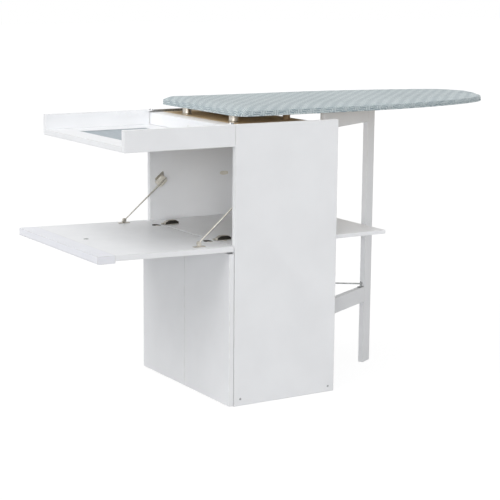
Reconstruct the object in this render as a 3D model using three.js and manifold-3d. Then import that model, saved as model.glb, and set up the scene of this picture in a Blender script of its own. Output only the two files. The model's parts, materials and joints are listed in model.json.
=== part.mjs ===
// Mirrored ironing board cabinet, in millimetres, +Z up.
// The user stands at -Y and faces +Y: the ironing board reaches out behind the cabinet, over a gate leg.
// While the pieces are placed, y = 0 is the front edge of the side panels and z = 0 is the floor.
// The last lines move the whole to its origin: the middle of its box, on the floor.

import * as THREE from "three";
import { mergeVertices } from "three/addons/utils/BufferGeometryUtils.js";
import Module from "manifold-3d";

const wasm = await Module();
wasm.setup();

// ---------- driving dimensions ----------

const degree = Math.PI / 180;
const seat = 0.25; // gap left between two pieces that are screwed or glued together
const cutGap = 0.3; // gap between a piece and the pocket cut for it

const cabinetWidth = 572;
const cabinetDepth = 376;
const cabinetHeight = 880;
const panelThickness = 18;

const bottomRise = 11; // underside of the bottom panel above the floor
const floorTop = 508; // top of the writing compartment's floor
const topPanelDrop = 8; // the top lies this far below the side panels' upper edges
const topPanelThickness = 16;
const topPanelRearGap = 66; // rear edge of the top panel to the side panels' rear edges
const frontRailDepth = 50;
const frontRailHeight = 40;
const backThickness = 4;
const backGroove = 6; // how far the back panel runs into each side panel
const rearRecess = 30; // hollow behind the back panel that takes the folded shelf
const rearRailHeight = 50;
const rearRailDrop = 10; // upper rear rail below the top panel's top
const lowerRearRailTop = 275;
const lowerRearRailHeight = 80;

const flapThickness = 20; // room kept for the flap at its hinge: the axis lies half of it below the top
const flapBoardThickness = 17;
const flapLipThickness = 24; // the free end is wrapped in a thicker profile, flush on top
const flapLipLength = 58;
const flapOverrun = 2.5; // shut flap's end above the shut lid
const flapRearGap = 4.5; // flap's rear edge to the front of the cabinet
const flapCloseGap = 2.5; // shut flap's inner face to the front of the cabinet
const flapTilt = 1.3 * degree; // the open flap's free end stands a little high
const flapEdgeRadius = 2;
const magnetDrop = 25.5; // flap's magnet below the top of the front rail
const strikeAcross = -8;

const lidDepth = 374.25;
const lidWallHeight = 66;
const lidWallThickness = 18;
const lidPanelThickness = 18;
const lidGap = 0.75; // between the lid's walls and the side panels' front edges
const lidHingeRise = 0.5; // hinge axis above the side panels' upper edges
const lidHingeInset = 1.25; // and behind their front edges
const mirrorFromWall = 68.5; // mirror's side edges to the lid's walls
const mirrorDepth = 269;
const mirrorThickness = 4;
const mirrorFromHinge = 45.5;
const backingThickness = 6;
const mirrorLip = 15; // width of the lip that shows round the mirror's back
const mirrorLipThickness = 3;

const doorThickness = 16;
const doorGap = 2;
const doorEdgeGap = 1; // at the seam and at the outer edges
const doorBottom = 3;
const doorTopGap = 4; // under the open flap
const cupRadius = 17.5;
const cupFromEdge = 22.5;
const cupDepth = 12;
const cupFromEnd = 90;
const cupWall = 1.5;
const smallCupRadius = 13;
const flapHingeFromEnd = 116; // middle of each flap hinge from the flap's end
const smallCupFromHinge = 30;

const stayFromSide = 16; // middle of each stay lug from the side panel's inner face
const stayFootFromFront = 107;
const stayPinRise = 11;
const stayHousingY = 36;
const stayHousingRise = 132; // above the compartment floor
const stayRodLength = 205;
const stayRodRadius = 2;

const gateAxisFromSide = 88; // gate axis from the right side panel's inner face
const gateAxisBehind = 14; // gate axis behind the rear edges of the side panels
const gateAngle = 28 * degree; // open gate, measured from straight back
const gateLength = 360;
const gateThickness = 18;
const legWidth = 50;
const legFootGap = 0.5;
const gateTopRailHeight = 60;
const gateLowRailDrop = 6; // its top below the top of the lower rear rail
const gateLowRailHeight = 52;
const gateTopGap = 0.5; // gate under the ironing board
const gatePinRadius = 4;

const shelfLength = 585; // far edge of the rear shelf, from the cabinet's front
const shelfThickness = 12;
const shelfAxisInset = 14; // shelf pins in front of the side panels' rear edges
const shelfHeel = 14;
const shelfSideGap = 2;
const shelfPinRadius = 4;

const rodAnchorFromSide = 120; // from the left side panel's inner face
const rodAnchorInset = 11;
const rodRise = 7; // hook rod's axis above the lower rear rail
const rodRadius = 2.5;
const rodCatchFromAxis = 298;

const boardFront = 27;
const boardNose = 1140;
const boardSideInset = 23; // board's long edges inside the cabinet's outer faces
const boardStraightEnd = 450;
const boardCornerRadius = 45;
const boardLift = 27; // underside of the board above the top panel
const boardJointBehind = 28; // joint of the leaf that folds down, behind the side panels
const coreThickness = 16;
const coverSkirt = 4;
const coverPadding = 9;
const coverCrown = 1.25;
const coverCrownShare = 0.6; // the crown's flat top, as a share of the outline
const spacerRadius = 12;
const spacerFromEdge = 115; // from the board's long edges
const frontSpacerY = 74;
const rearSpacerFromEnd = 40; // from the rear edge of the top panel

// ---------- sizes that follow ----------

const halfWidth = cabinetWidth / 2;
const innerHalf = halfWidth - panelThickness;
const backRear = cabinetDepth - rearRecess;
const backFront = backRear - backThickness;
const topLevel = cabinetHeight - topPanelDrop;
const topPanelEnd = cabinetDepth - topPanelRearGap;
const rearRailTop = topLevel - rearRailDrop;
const boardUnderside = topLevel + boardLift;
const boardHalfWidth = halfWidth - boardSideInset;
const sides = [["left", -1], ["right", 1]];

// ---------- materials ----------

const finish = (color, roughness, metalness = 0) =>
  new THREE.MeshStandardMaterial({ color, roughness, metalness });
const whiteBoard = finish(0xe4e6e8, 0.5);
const rawBoard = finish(0x93897a, 0.85);
const steel = finish(0xa9a59b, 0.35, 0.9);
const darkSteel = finish(0x4c4a46, 0.4, 0.8);
const mirrorFace = finish(0xd9dee0, 0.04, 1);
const mirrorPaint = finish(0x9ca6ad, 0.6);
const whitePlastic = finish(0xdfe0de, 0.45);
const boardFabric = finish(0xb3bdbf, 0.9);

// ---------- shaping ----------

const block = (x0, x1, y0, y1, z0, z1) =>
  new THREE.BoxGeometry(x1 - x0, y1 - y0, z1 - z0)
    .translate((x0 + x1) / 2, (y0 + y1) / 2, (z0 + z1) / 2);

// A round bar along one axis, from one place to another, centred on the other two coordinates.
function bar(axis, radius, from, to, a, b, facets = 24) {
  const geometry = new THREE.CylinderGeometry(radius, radius, to - from, facets);
  const middle = (from + to) / 2;
  if (axis === "x") return geometry.rotateZ(Math.PI / 2).translate(middle, a, b);
  if (axis === "y") return geometry.translate(a, middle, b);
  return geometry.rotateX(Math.PI / 2).translate(a, b, middle);
}

const outlineOf = (points) => new THREE.Shape(points.map(([a, b]) => new THREE.Vector2(a, b)));

const extruded = (shape, depth, curveSegments = 12) =>
  new THREE.ExtrudeGeometry(shape, { depth, bevelEnabled: false, curveSegments });

// An outline in (y, z), carried along X.
const yzToSpace = new THREE.Matrix4().makeBasis(
  new THREE.Vector3(0, 1, 0),
  new THREE.Vector3(0, 0, 1),
  new THREE.Vector3(1, 0, 0),
);
const alongX = (shape, x0, x1, curveSegments = 12) =>
  extruded(shape, x1 - x0, curveSegments).applyMatrix4(yzToSpace).translate(x0, 0, 0);

// An outline in (x, y), carried up along Z.
const alongZ = (shape, z0, z1, curveSegments = 12) =>
  extruded(shape, z1 - z0, curveSegments).translate(0, 0, z0);

function solid(geometry) {
  const bare = geometry.index ? geometry.toNonIndexed() : geometry.clone();
  bare.deleteAttribute("normal");
  bare.deleteAttribute("uv");
  const merged = mergeVertices(bare, 1e-4);
  return new wasm.Manifold(new wasm.Mesh({
    numProp: 3,
    vertProperties: new Float32Array(merged.attributes.position.array),
    triVerts: new Uint32Array(merged.index.array),
  }));
}

function meshOf(manifold) {
  const { numProp, vertProperties, triVerts } = manifold.getMesh();
  const position = new Float32Array((vertProperties.length / numProp) * 3);
  for (let i = 0; i < position.length / 3; i += 1) {
    position.set(vertProperties.subarray(i * numProp, i * numProp + 3), i * 3);
  }
  const geometry = new THREE.BufferGeometry();
  geometry.setAttribute("position", new THREE.BufferAttribute(position, 3));
  geometry.setIndex(new THREE.BufferAttribute(new Uint32Array(triVerts), 1));
  const faceted = geometry.toNonIndexed();
  faceted.computeVertexNormals();
  return faceted;
}

const cut = (geometry, ...tools) =>
  meshOf(tools.reduce((whole, tool) => whole.subtract(solid(tool)), solid(geometry)));

const join = (...pieces) =>
  meshOf(pieces.map(solid).reduce((whole, piece) => whole.add(piece)));

// The same shape on the other side of x = 0, with each triangle wound the other way round again.
function mirroredAcross(geometry) {
  const copy = geometry.clone().scale(-1, 1, 1);
  const { array } = copy.attributes.position;
  for (let i = 0; i < array.length; i += 9) {
    for (let k = 0; k < 3; k += 1) {
      [array[i + 3 + k], array[i + 6 + k]] = [array[i + 6 + k], array[i + 3 + k]];
    }
  }
  copy.computeVertexNormals();
  return copy;
}

// ---------- the assembly ----------

const assembly = new THREE.Group();
const cabinet = new THREE.Group();
assembly.add(cabinet);

function add(name, geometry, material, parent = cabinet) {
  const mesh = new THREE.Mesh(geometry, material);
  mesh.name = name;
  parent.add(mesh);
  return mesh;
}

// ---------- carcass ----------

const shelfAxisY = cabinetDepth - shelfAxisInset;
const shelfTop = floorTop;
const shelfAxisZ = shelfTop - shelfThickness / 2;
const shelfHalf = innerHalf - shelfSideGap;
const shelfPinDepth = 8; // how far each pin runs into its side panel

for (const [side, sign] of sides) {
  const grooveEnd = innerHalf + backGroove;
  const plan = [
    [innerHalf, 0],
    [halfWidth, 0],
    [halfWidth, cabinetDepth],
    [innerHalf, cabinetDepth],
    [innerHalf, backRear + cutGap],
    [grooveEnd, backRear + cutGap],
    [grooveEnd, backFront - cutGap],
    [innerHalf, backFront - cutGap],
  ].map(([x, y]) => [x * sign, y]);
  const panel = alongZ(outlineOf(plan), 0, cabinetHeight);
  const holeEnds = [innerHalf - 1, innerHalf + shelfPinDepth + cutGap].map((x) => x * sign);
  const pinHole = bar(
    "x", shelfPinRadius + cutGap, Math.min(...holeEnds), Math.max(...holeEnds), shelfAxisY, shelfAxisZ,
  );
  add(`side_panel_${side}`, cut(panel, pinHole), whiteBoard);
}

const boardHalf = innerHalf - seat; // pieces set between the side panels
const bottomTop = bottomRise + panelThickness;
const floorUnderside = floorTop - panelThickness;
add("bottom_panel", block(-boardHalf, boardHalf, 0, backFront - seat, bottomRise, bottomTop), whiteBoard);
add(
  "compartment_floor",
  block(-boardHalf, boardHalf, 0, backFront - seat, floorUnderside, floorTop),
  whiteBoard,
);

const flapAxisY = -flapCloseGap - flapThickness / 2;
const flapAxisZ = floorTop - flapThickness / 2;
const magnetZ = topLevel - magnetDrop;
const magnetRadius = 7;
const magnetDepth = 10;
add("top_front_rail", cut(
  block(-boardHalf, boardHalf, 0, frontRailDepth, topLevel - frontRailHeight, topLevel),
  bar("y", magnetRadius + cutGap, -1, magnetDepth + cutGap, strikeAcross, magnetZ),
), whiteBoard);
add("flap_magnet", bar("y", magnetRadius, -seat, magnetDepth, strikeAcross, magnetZ), darkSteel);
add("top_panel", block(
  -boardHalf, boardHalf, frontRailDepth + seat, topPanelEnd, topLevel - topPanelThickness, topLevel,
), rawBoard);

const backHalf = innerHalf + backGroove - cutGap;
add(
  "back_panel",
  block(-backHalf, backHalf, backFront, backRear, bottomRise, rearRailTop - rearRailHeight),
  whiteBoard,
);

const rearRailFront = cabinetDepth - panelThickness;
add("rear_rail_upper", block(
  -boardHalf, boardHalf, rearRailFront, cabinetDepth, rearRailTop - rearRailHeight, rearRailTop,
), whiteBoard);
add("rear_rail_lower", block(
  -boardHalf, boardHalf, rearRailFront, cabinetDepth,
  lowerRearRailTop - lowerRearRailHeight, lowerRearRailTop,
), whiteBoard);

// The rear shelf's heel bears up against this rail while the shelf stands level.
const stopRailDepth = 9;
const stopRailHeight = 18;
const stopRailBottom = shelfTop + 2 * seat;
add("shelf_stop_rail", block(
  -boardHalf, boardHalf, backRear + seat, backRear + stopRailDepth,
  stopRailBottom, stopRailBottom + stopRailHeight,
), whiteBoard);

// ---------- cup hinges ----------

// A hinge cup: a round pan let into the board, with a flange on the board's face. Its mouth faces +Z.
const cupFlangeWidth = 24;
function hingeCup(radius, depth, flangeLength, flangeThickness) {
  const pan = bar("z", radius, -depth, 0, 0, 0, 32);
  const flange = block(
    -flangeLength / 2, flangeLength / 2, -cupFlangeWidth / 2, cupFlangeWidth / 2, 0, flangeThickness,
  );
  const hollow = bar("z", radius - cupWall, cupWall - depth, flangeThickness + 1, 0, 0, 32);
  return cut(join(pan.translate(0, 0, seat), flange.translate(0, 0, seat)), hollow);
}

// A hinge arm: seen from its side, a long foot with a raised back and a nose over the board's edge.
function hingeArm(length, height, width) {
  const noseHeight = 0.55 * height;
  const shoulder = 0.24 * length;
  const profile = outlineOf([
    [0, seat],
    [length, seat],
    [length, noseHeight],
    [length - shoulder, height],
    [shoulder, height],
    [0, noseHeight],
  ]);
  return alongX(profile, -width / 2, width / 2);
}

// ---------- flap ----------

const flap = new THREE.Group();
flap.position.set(0, flapAxisY, flapAxisZ);
flap.rotation.x = -flapTilt;
cabinet.add(flap);

// Inside this group the hinge axis is the origin and the open flap lies level.
// Shut, it covers the compartment and the front of the shut lid, which lies turned over on its hinges.
const lidAxisZ = cabinetHeight + lidHingeRise;
const lidBottom = cabinetHeight - lidWallHeight;
const shutLidTop = 2 * lidAxisZ - lidBottom;
const flapRear = -flapRearGap - flapAxisY;
const flapFree = flapAxisZ - shutLidTop - flapOverrun;
const flapTop = flapThickness / 2;
const flapCupY = -smallCupFromHinge - flapAxisY;

function flapProfile() {
  const r = flapEdgeRadius;
  const boardBottom = flapTop - flapBoardThickness;
  const lipBottom = flapTop - flapLipThickness;
  const lipRadius = flapLipThickness - flapThickness;
  const shape = new THREE.Shape();
  shape.absarc(flapFree + lipRadius, lipBottom + lipRadius, lipRadius, Math.PI, 1.5 * Math.PI, false);
  shape.lineTo(flapFree + flapLipLength, lipBottom);
  shape.lineTo(flapFree + flapLipLength, boardBottom);
  shape.lineTo(flapRear - r, boardBottom);
  shape.absarc(flapRear - r, boardBottom + r, r, -Math.PI / 2, 0, false);
  shape.absarc(flapRear - r, flapTop - r, r, 0, Math.PI / 2, false);
  shape.lineTo(flapFree, flapTop);
  return shape;
}

const smallCupDepth = 11;
const flapHingeAcross = halfWidth - flapHingeFromEnd;
const flapCupHoles = sides.map(([, sign]) => bar(
  "z", smallCupRadius + cutGap, flapTop - smallCupDepth - cutGap, flapTop + 1,
  sign * flapHingeAcross, flapCupY, 32,
));
add("flap_panel", cut(
  alongX(flapProfile(), -halfWidth, halfWidth, 4),
  ...flapCupHoles,
), whiteBoard, flap);

const flapArmLength = 50;
const flapArmFront = 1.5;
const flapArmHeight = 14;
const flapArmWidth = 16;
const flapFlangeLength = 38;
const flapFlangeThickness = 1.25;
for (const [side, sign] of sides) {
  const cup = hingeCup(smallCupRadius, smallCupDepth, flapFlangeLength, flapFlangeThickness);
  const cupMesh = add(`flap_hinge_cup_${side}`, cup, steel, flap);
  cupMesh.position.set(sign * flapHingeAcross, flapCupY, flapTop);
  const arm = hingeArm(flapArmLength, flapArmHeight, flapArmWidth);
  const armMesh = add(`flap_hinge_arm_${side}`, arm, steel);
  armMesh.position.set(sign * flapHingeAcross, flapArmFront, floorTop);
}

const strikeRadius = 8;
add(
  "flap_strike",
  bar("z", strikeRadius, flapTop + seat, flapTop + 1, strikeAcross, flapAxisZ - magnetZ),
  darkSteel,
  flap,
);

// ---------- flap stays ----------

const footPlateLength = 40;
const footPlateWidth = 12;
const footPlateThickness = 2;
const lugWidth = 5;
const lugRadius = 6;
const stayPinRadius = 2.5;
const stayPinLength = 6;
const stayEyeWidth = 4;
const stayAcross = innerHalf - stayFromSide;
const stayHousingZ = floorTop + stayHousingRise;
const stayFootY = -stayFootFromFront - flapAxisY;
const stayPinZ = flapTop + stayPinRise;
const lugInner = stayAcross - lugWidth / 2;
const stayRodX = lugInner - stayEyeWidth / 2 - cutGap;
const housingRadius = 15; // round base on the side panel
const housingBaseThickness = 5;
const housingHeadHalf = 18; // half the length of the head that the rod slides past
const housingHeadHeight = 24;
const housingRodGap = 0.75; // between the head and the rod's eye

// Where the stay's pin stands while the flap is open, and which way its rod points from there.
const pinPlace = new THREE.Vector3(0, stayFootY, stayPinZ)
  .applyAxisAngle(new THREE.Vector3(1, 0, 0), -flapTilt)
  .add(flap.position);
const stayAngle = Math.atan2(stayHousingZ - pinPlace.z, stayHousingY - pinPlace.y);

for (const [side, sign] of sides) {
  const plate = block(
    stayAcross - footPlateWidth / 2, stayAcross + footPlateWidth / 2,
    stayFootY - footPlateLength / 2, stayFootY + footPlateLength / 2,
    flapTop + seat, flapTop + seat + footPlateThickness,
  );
  const lugLow = block(
    lugInner, lugInner + lugWidth, stayFootY - lugRadius, stayFootY + lugRadius, flapTop + 1, stayPinZ,
  );
  const lugTop = bar("x", lugRadius, lugInner, lugInner + lugWidth, stayFootY, stayPinZ);
  const pin = bar("x", stayPinRadius, lugInner - stayPinLength, lugInner + 1, stayFootY, stayPinZ);
  const foot = join(plate, lugLow, lugTop, pin);
  add(`stay_foot_${side}`, sign > 0 ? foot : mirroredAcross(foot), steel, flap);

  const rod = new THREE.Group();
  rod.position.set(sign * stayRodX, pinPlace.y, pinPlace.z);
  rod.rotation.x = stayAngle;
  cabinet.add(rod);
  const eye = bar("x", lugRadius, -stayEyeWidth / 2, stayEyeWidth / 2, 0, 0);
  const shank = bar("y", stayRodRadius, lugRadius - 2, stayRodLength, 0, 0, 12);
  const eyeHole = bar("x", stayPinRadius + cutGap, -stayEyeWidth, stayEyeWidth, 0, 0);
  add(`stay_rod_${side}`, cut(join(eye, shank), eyeHole), steel, rod);

  const housing = new THREE.Group();
  housing.position.set(0, stayHousingY, stayHousingZ);
  housing.rotation.x = stayAngle;
  cabinet.add(housing);
  const headInner = stayRodX + stayEyeWidth / 2 + housingRodGap;
  const baseInner = innerHalf - housingBaseThickness;
  const base = bar("x", housingRadius, baseInner, innerHalf - seat, 0, 0, 32);
  const head = block(
    headInner, baseInner + 1, -housingHeadHalf, housingHeadHalf,
    -housingHeadHeight / 2, housingHeadHeight / 2,
  );
  const whole = join(base, head);
  add(`stay_housing_${side}`, sign > 0 ? whole : mirroredAcross(whole), steel, housing);
}

// ---------- lid with the mirror ----------

const lidRear = -lidGap;
const lidFree = lidRear - lidDepth;
const lidPanelTop = lidBottom + lidPanelThickness;
const lidInner = halfWidth - lidWallThickness;

for (const [side, sign] of sides) {
  const wall = block(lidInner, halfWidth, lidFree, lidRear, lidBottom, cabinetHeight);
  add(`lid_wall_${side}`, sign > 0 ? wall : wall.translate(-lidInner - halfWidth, 0, 0), whiteBoard);
}

const mirrorHalf = lidInner - mirrorFromWall;
const mirrorRear = -mirrorFromHinge;
const mirrorFree = mirrorRear - mirrorDepth;
const lipBottom = lidPanelTop - mirrorLipThickness;
const backingTop = lipBottom - seat;
const glassTop = backingTop - backingThickness - seat;
add("lid_panel", cut(
  block(-lidInner + seat, lidInner - seat, lidFree, lidRear, lidBottom, lidPanelTop),
  block(
    -mirrorHalf - cutGap, mirrorHalf + cutGap,
    mirrorFree - cutGap, mirrorRear + cutGap,
    lidBottom - 1, lipBottom,
  ),
  block(
    mirrorLip - mirrorHalf, mirrorHalf - mirrorLip,
    mirrorFree + mirrorLip, mirrorRear - mirrorLip,
    lipBottom - 1, lidPanelTop + 1,
  ),
), whiteBoard);
add("mirror_backing", block(
  -mirrorHalf, mirrorHalf, mirrorFree, mirrorRear, backingTop - backingThickness, backingTop,
), mirrorPaint);
add("mirror_glass", block(
  -mirrorHalf, mirrorHalf, mirrorFree, mirrorRear, glassTop - mirrorThickness, glassTop,
), mirrorFace);

// Strap hinges: one strap on the side panel with the pin, one strap on the lid's wall with the eye.
const strapThickness = 2.25;
const strapLength = 125;
const knuckleRadius = 3.25; // slim enough to stay behind the shut flap
const knuckleWidth = 8;
const lidPinRadius = 1.5;
const strapOuter = innerHalf - seat;
const strapInner = strapOuter - strapThickness;
const fixedInner = strapOuter - knuckleWidth;
const movingOuter = fixedInner - seat;
const movingInner = movingOuter - knuckleWidth;
const strapEnd = lidHingeInset - knuckleRadius - 4; // the lid's strap starts clear of the knuckles
const strapBend = 5;
const lidStrapDepth = 18;
for (const [side, sign] of sides) {
  const fixedStrap = join(
    block(strapInner, strapOuter, 0, strapLength, topLevel + 2 * seat, cabinetHeight),
    bar("x", knuckleRadius, fixedInner, strapOuter, lidHingeInset, lidAxisZ),
    bar("x", lidPinRadius, movingInner - 1, fixedInner + 1, lidHingeInset, lidAxisZ),
  );
  const lidStrap = cut(
    join(
      block(strapInner, strapOuter, -strapLength, strapEnd, cabinetHeight - lidStrapDepth, cabinetHeight),
      block(
        movingInner, strapOuter, strapEnd - strapBend, strapEnd,
        cabinetHeight - knuckleRadius, cabinetHeight,
      ),
      block(
        movingInner, movingOuter, strapEnd - 1, lidHingeInset,
        cabinetHeight - knuckleRadius + 1, cabinetHeight,
      ),
      bar("x", knuckleRadius, movingInner, movingOuter, lidHingeInset, lidAxisZ),
    ),
    bar("x", lidPinRadius + cutGap, movingInner - 1, movingOuter + 1, lidHingeInset, lidAxisZ),
  );
  add(`lid_hinge_fixed_${side}`, sign > 0 ? fixedStrap : mirroredAcross(fixedStrap), steel);
  add(`lid_hinge_strap_${side}`, sign > 0 ? lidStrap : mirroredAcross(lidStrap), steel);
}

// ---------- doors ----------

const doorTop = flapAxisZ - flapTop - doorTopGap;
const doorInnerFace = -doorGap;
const doorOuterFace = doorInnerFace - doorThickness;
const doorArmLength = 54;
const doorArmHeight = 13;
const doorArmWidth = 15;
const doorArmFront = 2;
const doorFlangeLength = 40;
const doorFlangeThickness = 0.75;
const cupX = halfWidth - doorEdgeGap - cupFromEdge;
const cupHeights = [["lower", doorBottom + cupFromEnd], ["upper", doorTop - cupFromEnd]];

for (const [side, sign] of sides) {
  const edges = [sign * doorEdgeGap, sign * (halfWidth - doorEdgeGap)];
  const door = block(
    Math.min(...edges), Math.max(...edges), doorOuterFace, doorInnerFace, doorBottom, doorTop,
  );
  const holes = cupHeights.map(([, z]) => bar(
    "y", cupRadius + cutGap, doorInnerFace - cupDepth - cutGap, doorInnerFace + 1, sign * cupX, z, 32,
  ));
  add(`door_${side}`, cut(door, ...holes), whiteBoard);
  for (const [level, z] of cupHeights) {
    const cupShape = hingeCup(cupRadius, cupDepth, doorFlangeLength, doorFlangeThickness);
    const cup = add(`door_${side}_cup_${level}`, cupShape, steel);
    cup.position.set(sign * cupX, doorInnerFace, z);
    cup.rotation.set(-Math.PI / 2, 0, 0);
    cup.rotateZ(Math.PI / 2);
    const armShape = hingeArm(doorArmLength, doorArmHeight, doorArmWidth);
    const arm = add(`door_${side}_arm_${level}`, armShape, steel);
    arm.position.set(sign * innerHalf, doorArmFront, z);
    arm.rotation.set(0, -sign * Math.PI / 2, 0);
  }
}

// Double push latch under the compartment floor, one plunger for each door.
const latchHalf = 30;
const latchFront = 3;
const latchDepth = 42;
const latchHeight = 14;
const plungerAcross = 16;
const plungerRadius = 4;
const plungerDrop = 9; // below the latch's top
const latchTop = floorUnderside - seat;
add("door_push_latch", join(
  block(-latchHalf, latchHalf, latchFront, latchDepth, latchTop - latchHeight, latchTop),
  ...sides.map(([, sign]) => bar(
    "y", plungerRadius, doorInnerFace + seat, latchFront + 1, sign * plungerAcross, latchTop - plungerDrop,
  )),
), whitePlastic);

// ---------- gate leg ----------

const gateAxisX = innerHalf - gateAxisFromSide;
const gate = new THREE.Group();
gate.position.set(gateAxisX, cabinetDepth + gateAxisBehind, 0);
gate.rotation.z = gateAngle;
cabinet.add(gate);

// Inside this group the gate's axis is the origin and the gate reaches along +Y.
const gateHalf = gateThickness / 2;
const legInner = gateLength - legWidth;
const gateTop = boardUnderside - gateTopGap;
const gateTopRailBottom = gateTop - gateTopRailHeight;
const gateLowRailTop = lowerRearRailTop - gateLowRailDrop;
const gateLowRailBottom = gateLowRailTop - gateLowRailHeight;
const gatePinLength = 40;

function gateRail(bottom, top) {
  const shape = new THREE.Shape();
  shape.moveTo(gateHalf, 0);
  shape.lineTo(gateHalf, legInner - cutGap);
  shape.lineTo(-gateHalf, legInner - cutGap);
  shape.lineTo(-gateHalf, 0);
  shape.absarc(0, 0, gateHalf, Math.PI, 2 * Math.PI, false);
  const bore = bar("z", gatePinRadius + cutGap, bottom - 1, bottom + gatePinLength + 1, 0, 0);
  return cut(alongZ(shape, bottom, top), bore);
}

add("gate_leg", block(-gateHalf, gateHalf, legInner, gateLength, legFootGap, gateTop), whiteBoard, gate);
add("gate_top_rail", gateRail(gateTopRailBottom, gateTop), whiteBoard, gate);
add("gate_lower_rail", gateRail(gateLowRailBottom, gateLowRailTop), whiteBoard, gate);

const catchPlateLength = 24;
const catchPlateWidth = 14;
const catchPlateThickness = 2.5;
const catchPinRadius = 2.5;
const catchPinRise = 7; // the catch pin and the anchor pin stand this far above the rod's axis
const rodHeight = lowerRearRailTop + rodRise;
const rodPinTop = rodHeight + catchPinRise;
const catchPlateZ = gateLowRailTop + cutGap;
add("rod_catch", join(
  block(
    -catchPlateWidth / 2, catchPlateWidth / 2,
    rodCatchFromAxis - catchPlateLength / 2, legInner - cutGap,
    catchPlateZ, catchPlateZ + catchPlateThickness,
  ),
  bar("z", catchPinRadius, catchPlateZ + 1, rodPinTop, 0, rodCatchFromAxis),
), steel, gate);

// Each bracket stands on a rear rail: a plate, an ear that the gate rail rests over, and its pin.
const bracketThickness = 2.5;
const bracketHalf = 20;
const earThickness = 3;
const thrustGap = 0.5;
function gateBracket(railBottom) {
  const earTop = railBottom - thrustGap;
  const plateFront = cabinetDepth + seat;
  const axisY = cabinetDepth + gateAxisBehind;
  const ear = new THREE.Shape();
  ear.moveTo(gateAxisX - gateHalf, plateFront);
  ear.lineTo(gateAxisX + gateHalf, plateFront);
  ear.lineTo(gateAxisX + gateHalf, axisY);
  ear.absarc(gateAxisX, axisY, gateHalf, 0, Math.PI, false);
  return join(
    block(
      gateAxisX - bracketHalf, gateAxisX + bracketHalf,
      plateFront, plateFront + bracketThickness, earTop - bracketHalf, earTop,
    ),
    alongZ(ear, earTop - earThickness, earTop),
    bar("z", gatePinRadius, earTop - 1, earTop + gatePinLength, gateAxisX, axisY),
  );
}
add("gate_bracket_upper", gateBracket(gateTopRailBottom), steel);
add("gate_bracket_lower", gateBracket(gateLowRailBottom), steel);

// ---------- rear shelf ----------

add("rear_shelf", join(
  block(
    -shelfHalf, shelfHalf, shelfAxisY - shelfHeel, shelfLength, shelfTop - shelfThickness, shelfTop,
  ),
  bar("x", shelfPinRadius, -innerHalf - shelfPinDepth, innerHalf + shelfPinDepth, shelfAxisY, shelfAxisZ),
), whiteBoard);

// ---------- hook rod ----------

const anchorY = cabinetDepth - rodAnchorInset;
const anchorPinRadius = 2.5;
const eyeRadius = 6;
const rodAnchorX = rodAnchorFromSide - innerHalf;
const anchorPlateHalf = 15;
const anchorPlateThickness = 2.5;
const anchorPlateBottom = lowerRearRailTop + seat;
const anchorPlateTop = anchorPlateBottom + anchorPlateThickness;
add("rod_anchor", join(
  block(
    rodAnchorX - anchorPlateHalf, rodAnchorX + anchorPlateHalf, anchorY - eyeRadius, cabinetDepth - 1,
    anchorPlateBottom, anchorPlateTop,
  ),
  bar("z", anchorPinRadius, anchorPlateTop - 1, rodPinTop, rodAnchorX, anchorY),
), steel);

// The hook passes on the right of the catch pin and curls round behind it.
const catchX = gateAxisX - rodCatchFromAxis * Math.sin(gateAngle);
const catchY = cabinetDepth + gateAxisBehind + rodCatchFromAxis * Math.cos(gateAngle);
const toCatch = Math.hypot(catchX - rodAnchorX, catchY - anchorY);
const hookRadius = catchPinRadius + rodRadius + cutGap;
const rodTurn = Math.atan2(catchX - rodAnchorX, catchY - anchorY) + Math.asin(hookRadius / toCatch);
const rodReach = Math.sqrt(toCatch ** 2 - hookRadius ** 2);

const hookRod = new THREE.Group();
hookRod.position.set(rodAnchorX, anchorY, rodHeight);
hookRod.rotation.z = -rodTurn;
cabinet.add(hookRod);

const hookSweep = 150 * degree;
const hookSteps = 8;
const hookPoints = Array.from({ length: hookSteps + 1 }, (_, i) => {
  const angle = (hookSweep * i) / hookSteps;
  return new THREE.Vector3(hookRadius * (Math.cos(angle) - 1), rodReach + hookRadius * Math.sin(angle), 0);
});
const rodSection = new THREE.Shape();
rodSection.absarc(0, 0, rodRadius, 0, 2 * Math.PI, false);
const shank = bar("y", rodRadius, eyeRadius - 2, rodReach, 0, 0, 12);
const hook = new THREE.ExtrudeGeometry(rodSection, {
  steps: hookSteps * 2,
  bevelEnabled: false,
  extrudePath: new THREE.CatmullRomCurve3([new THREE.Vector3(0, rodReach - 3, 0), ...hookPoints]),
  curveSegments: 6,
});
add("hook_rod", cut(
  join(bar("z", eyeRadius, -rodRadius, rodRadius, 0, 0), shank, hook),
  bar("z", anchorPinRadius + cutGap, -2 * rodRadius, 2 * rodRadius, 0, 0),
), steel, hookRod);

// ---------- ironing board ----------

// Half of the outline, from the middle of the front end to the nose; the other half mirrors it.
function boardOutline() {
  const r = boardCornerRadius;
  const w = boardHalfWidth;
  const reach = boardNose - boardStraightEnd;
  const bendX = 0.57 * w;
  const bendY = boardStraightEnd + 0.87 * reach;
  const half = new THREE.Path();
  half.moveTo(0, boardFront);
  half.lineTo(w - r, boardFront);
  half.absarc(w - r, boardFront + r, r, -Math.PI / 2, 0, false);
  half.lineTo(w, boardStraightEnd);
  half.bezierCurveTo(
    w, boardStraightEnd + 0.362 * reach, 0.817 * w, boardStraightEnd + 0.695 * reach, bendX, bendY,
  );
  half.bezierCurveTo(0.448 * w, boardStraightEnd + 0.954 * reach, 0.266 * w, boardNose, 0, boardNose);
  const drawn = half.getPoints(12);
  const right = drawn.filter((p, i) => i === 0 || p.distanceTo(drawn[i - 1]) > 0.01);
  const left = right.slice(1, -1).reverse().map((p) => new THREE.Vector2(-p.x, p.y));
  return [...right, ...left];
}

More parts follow.
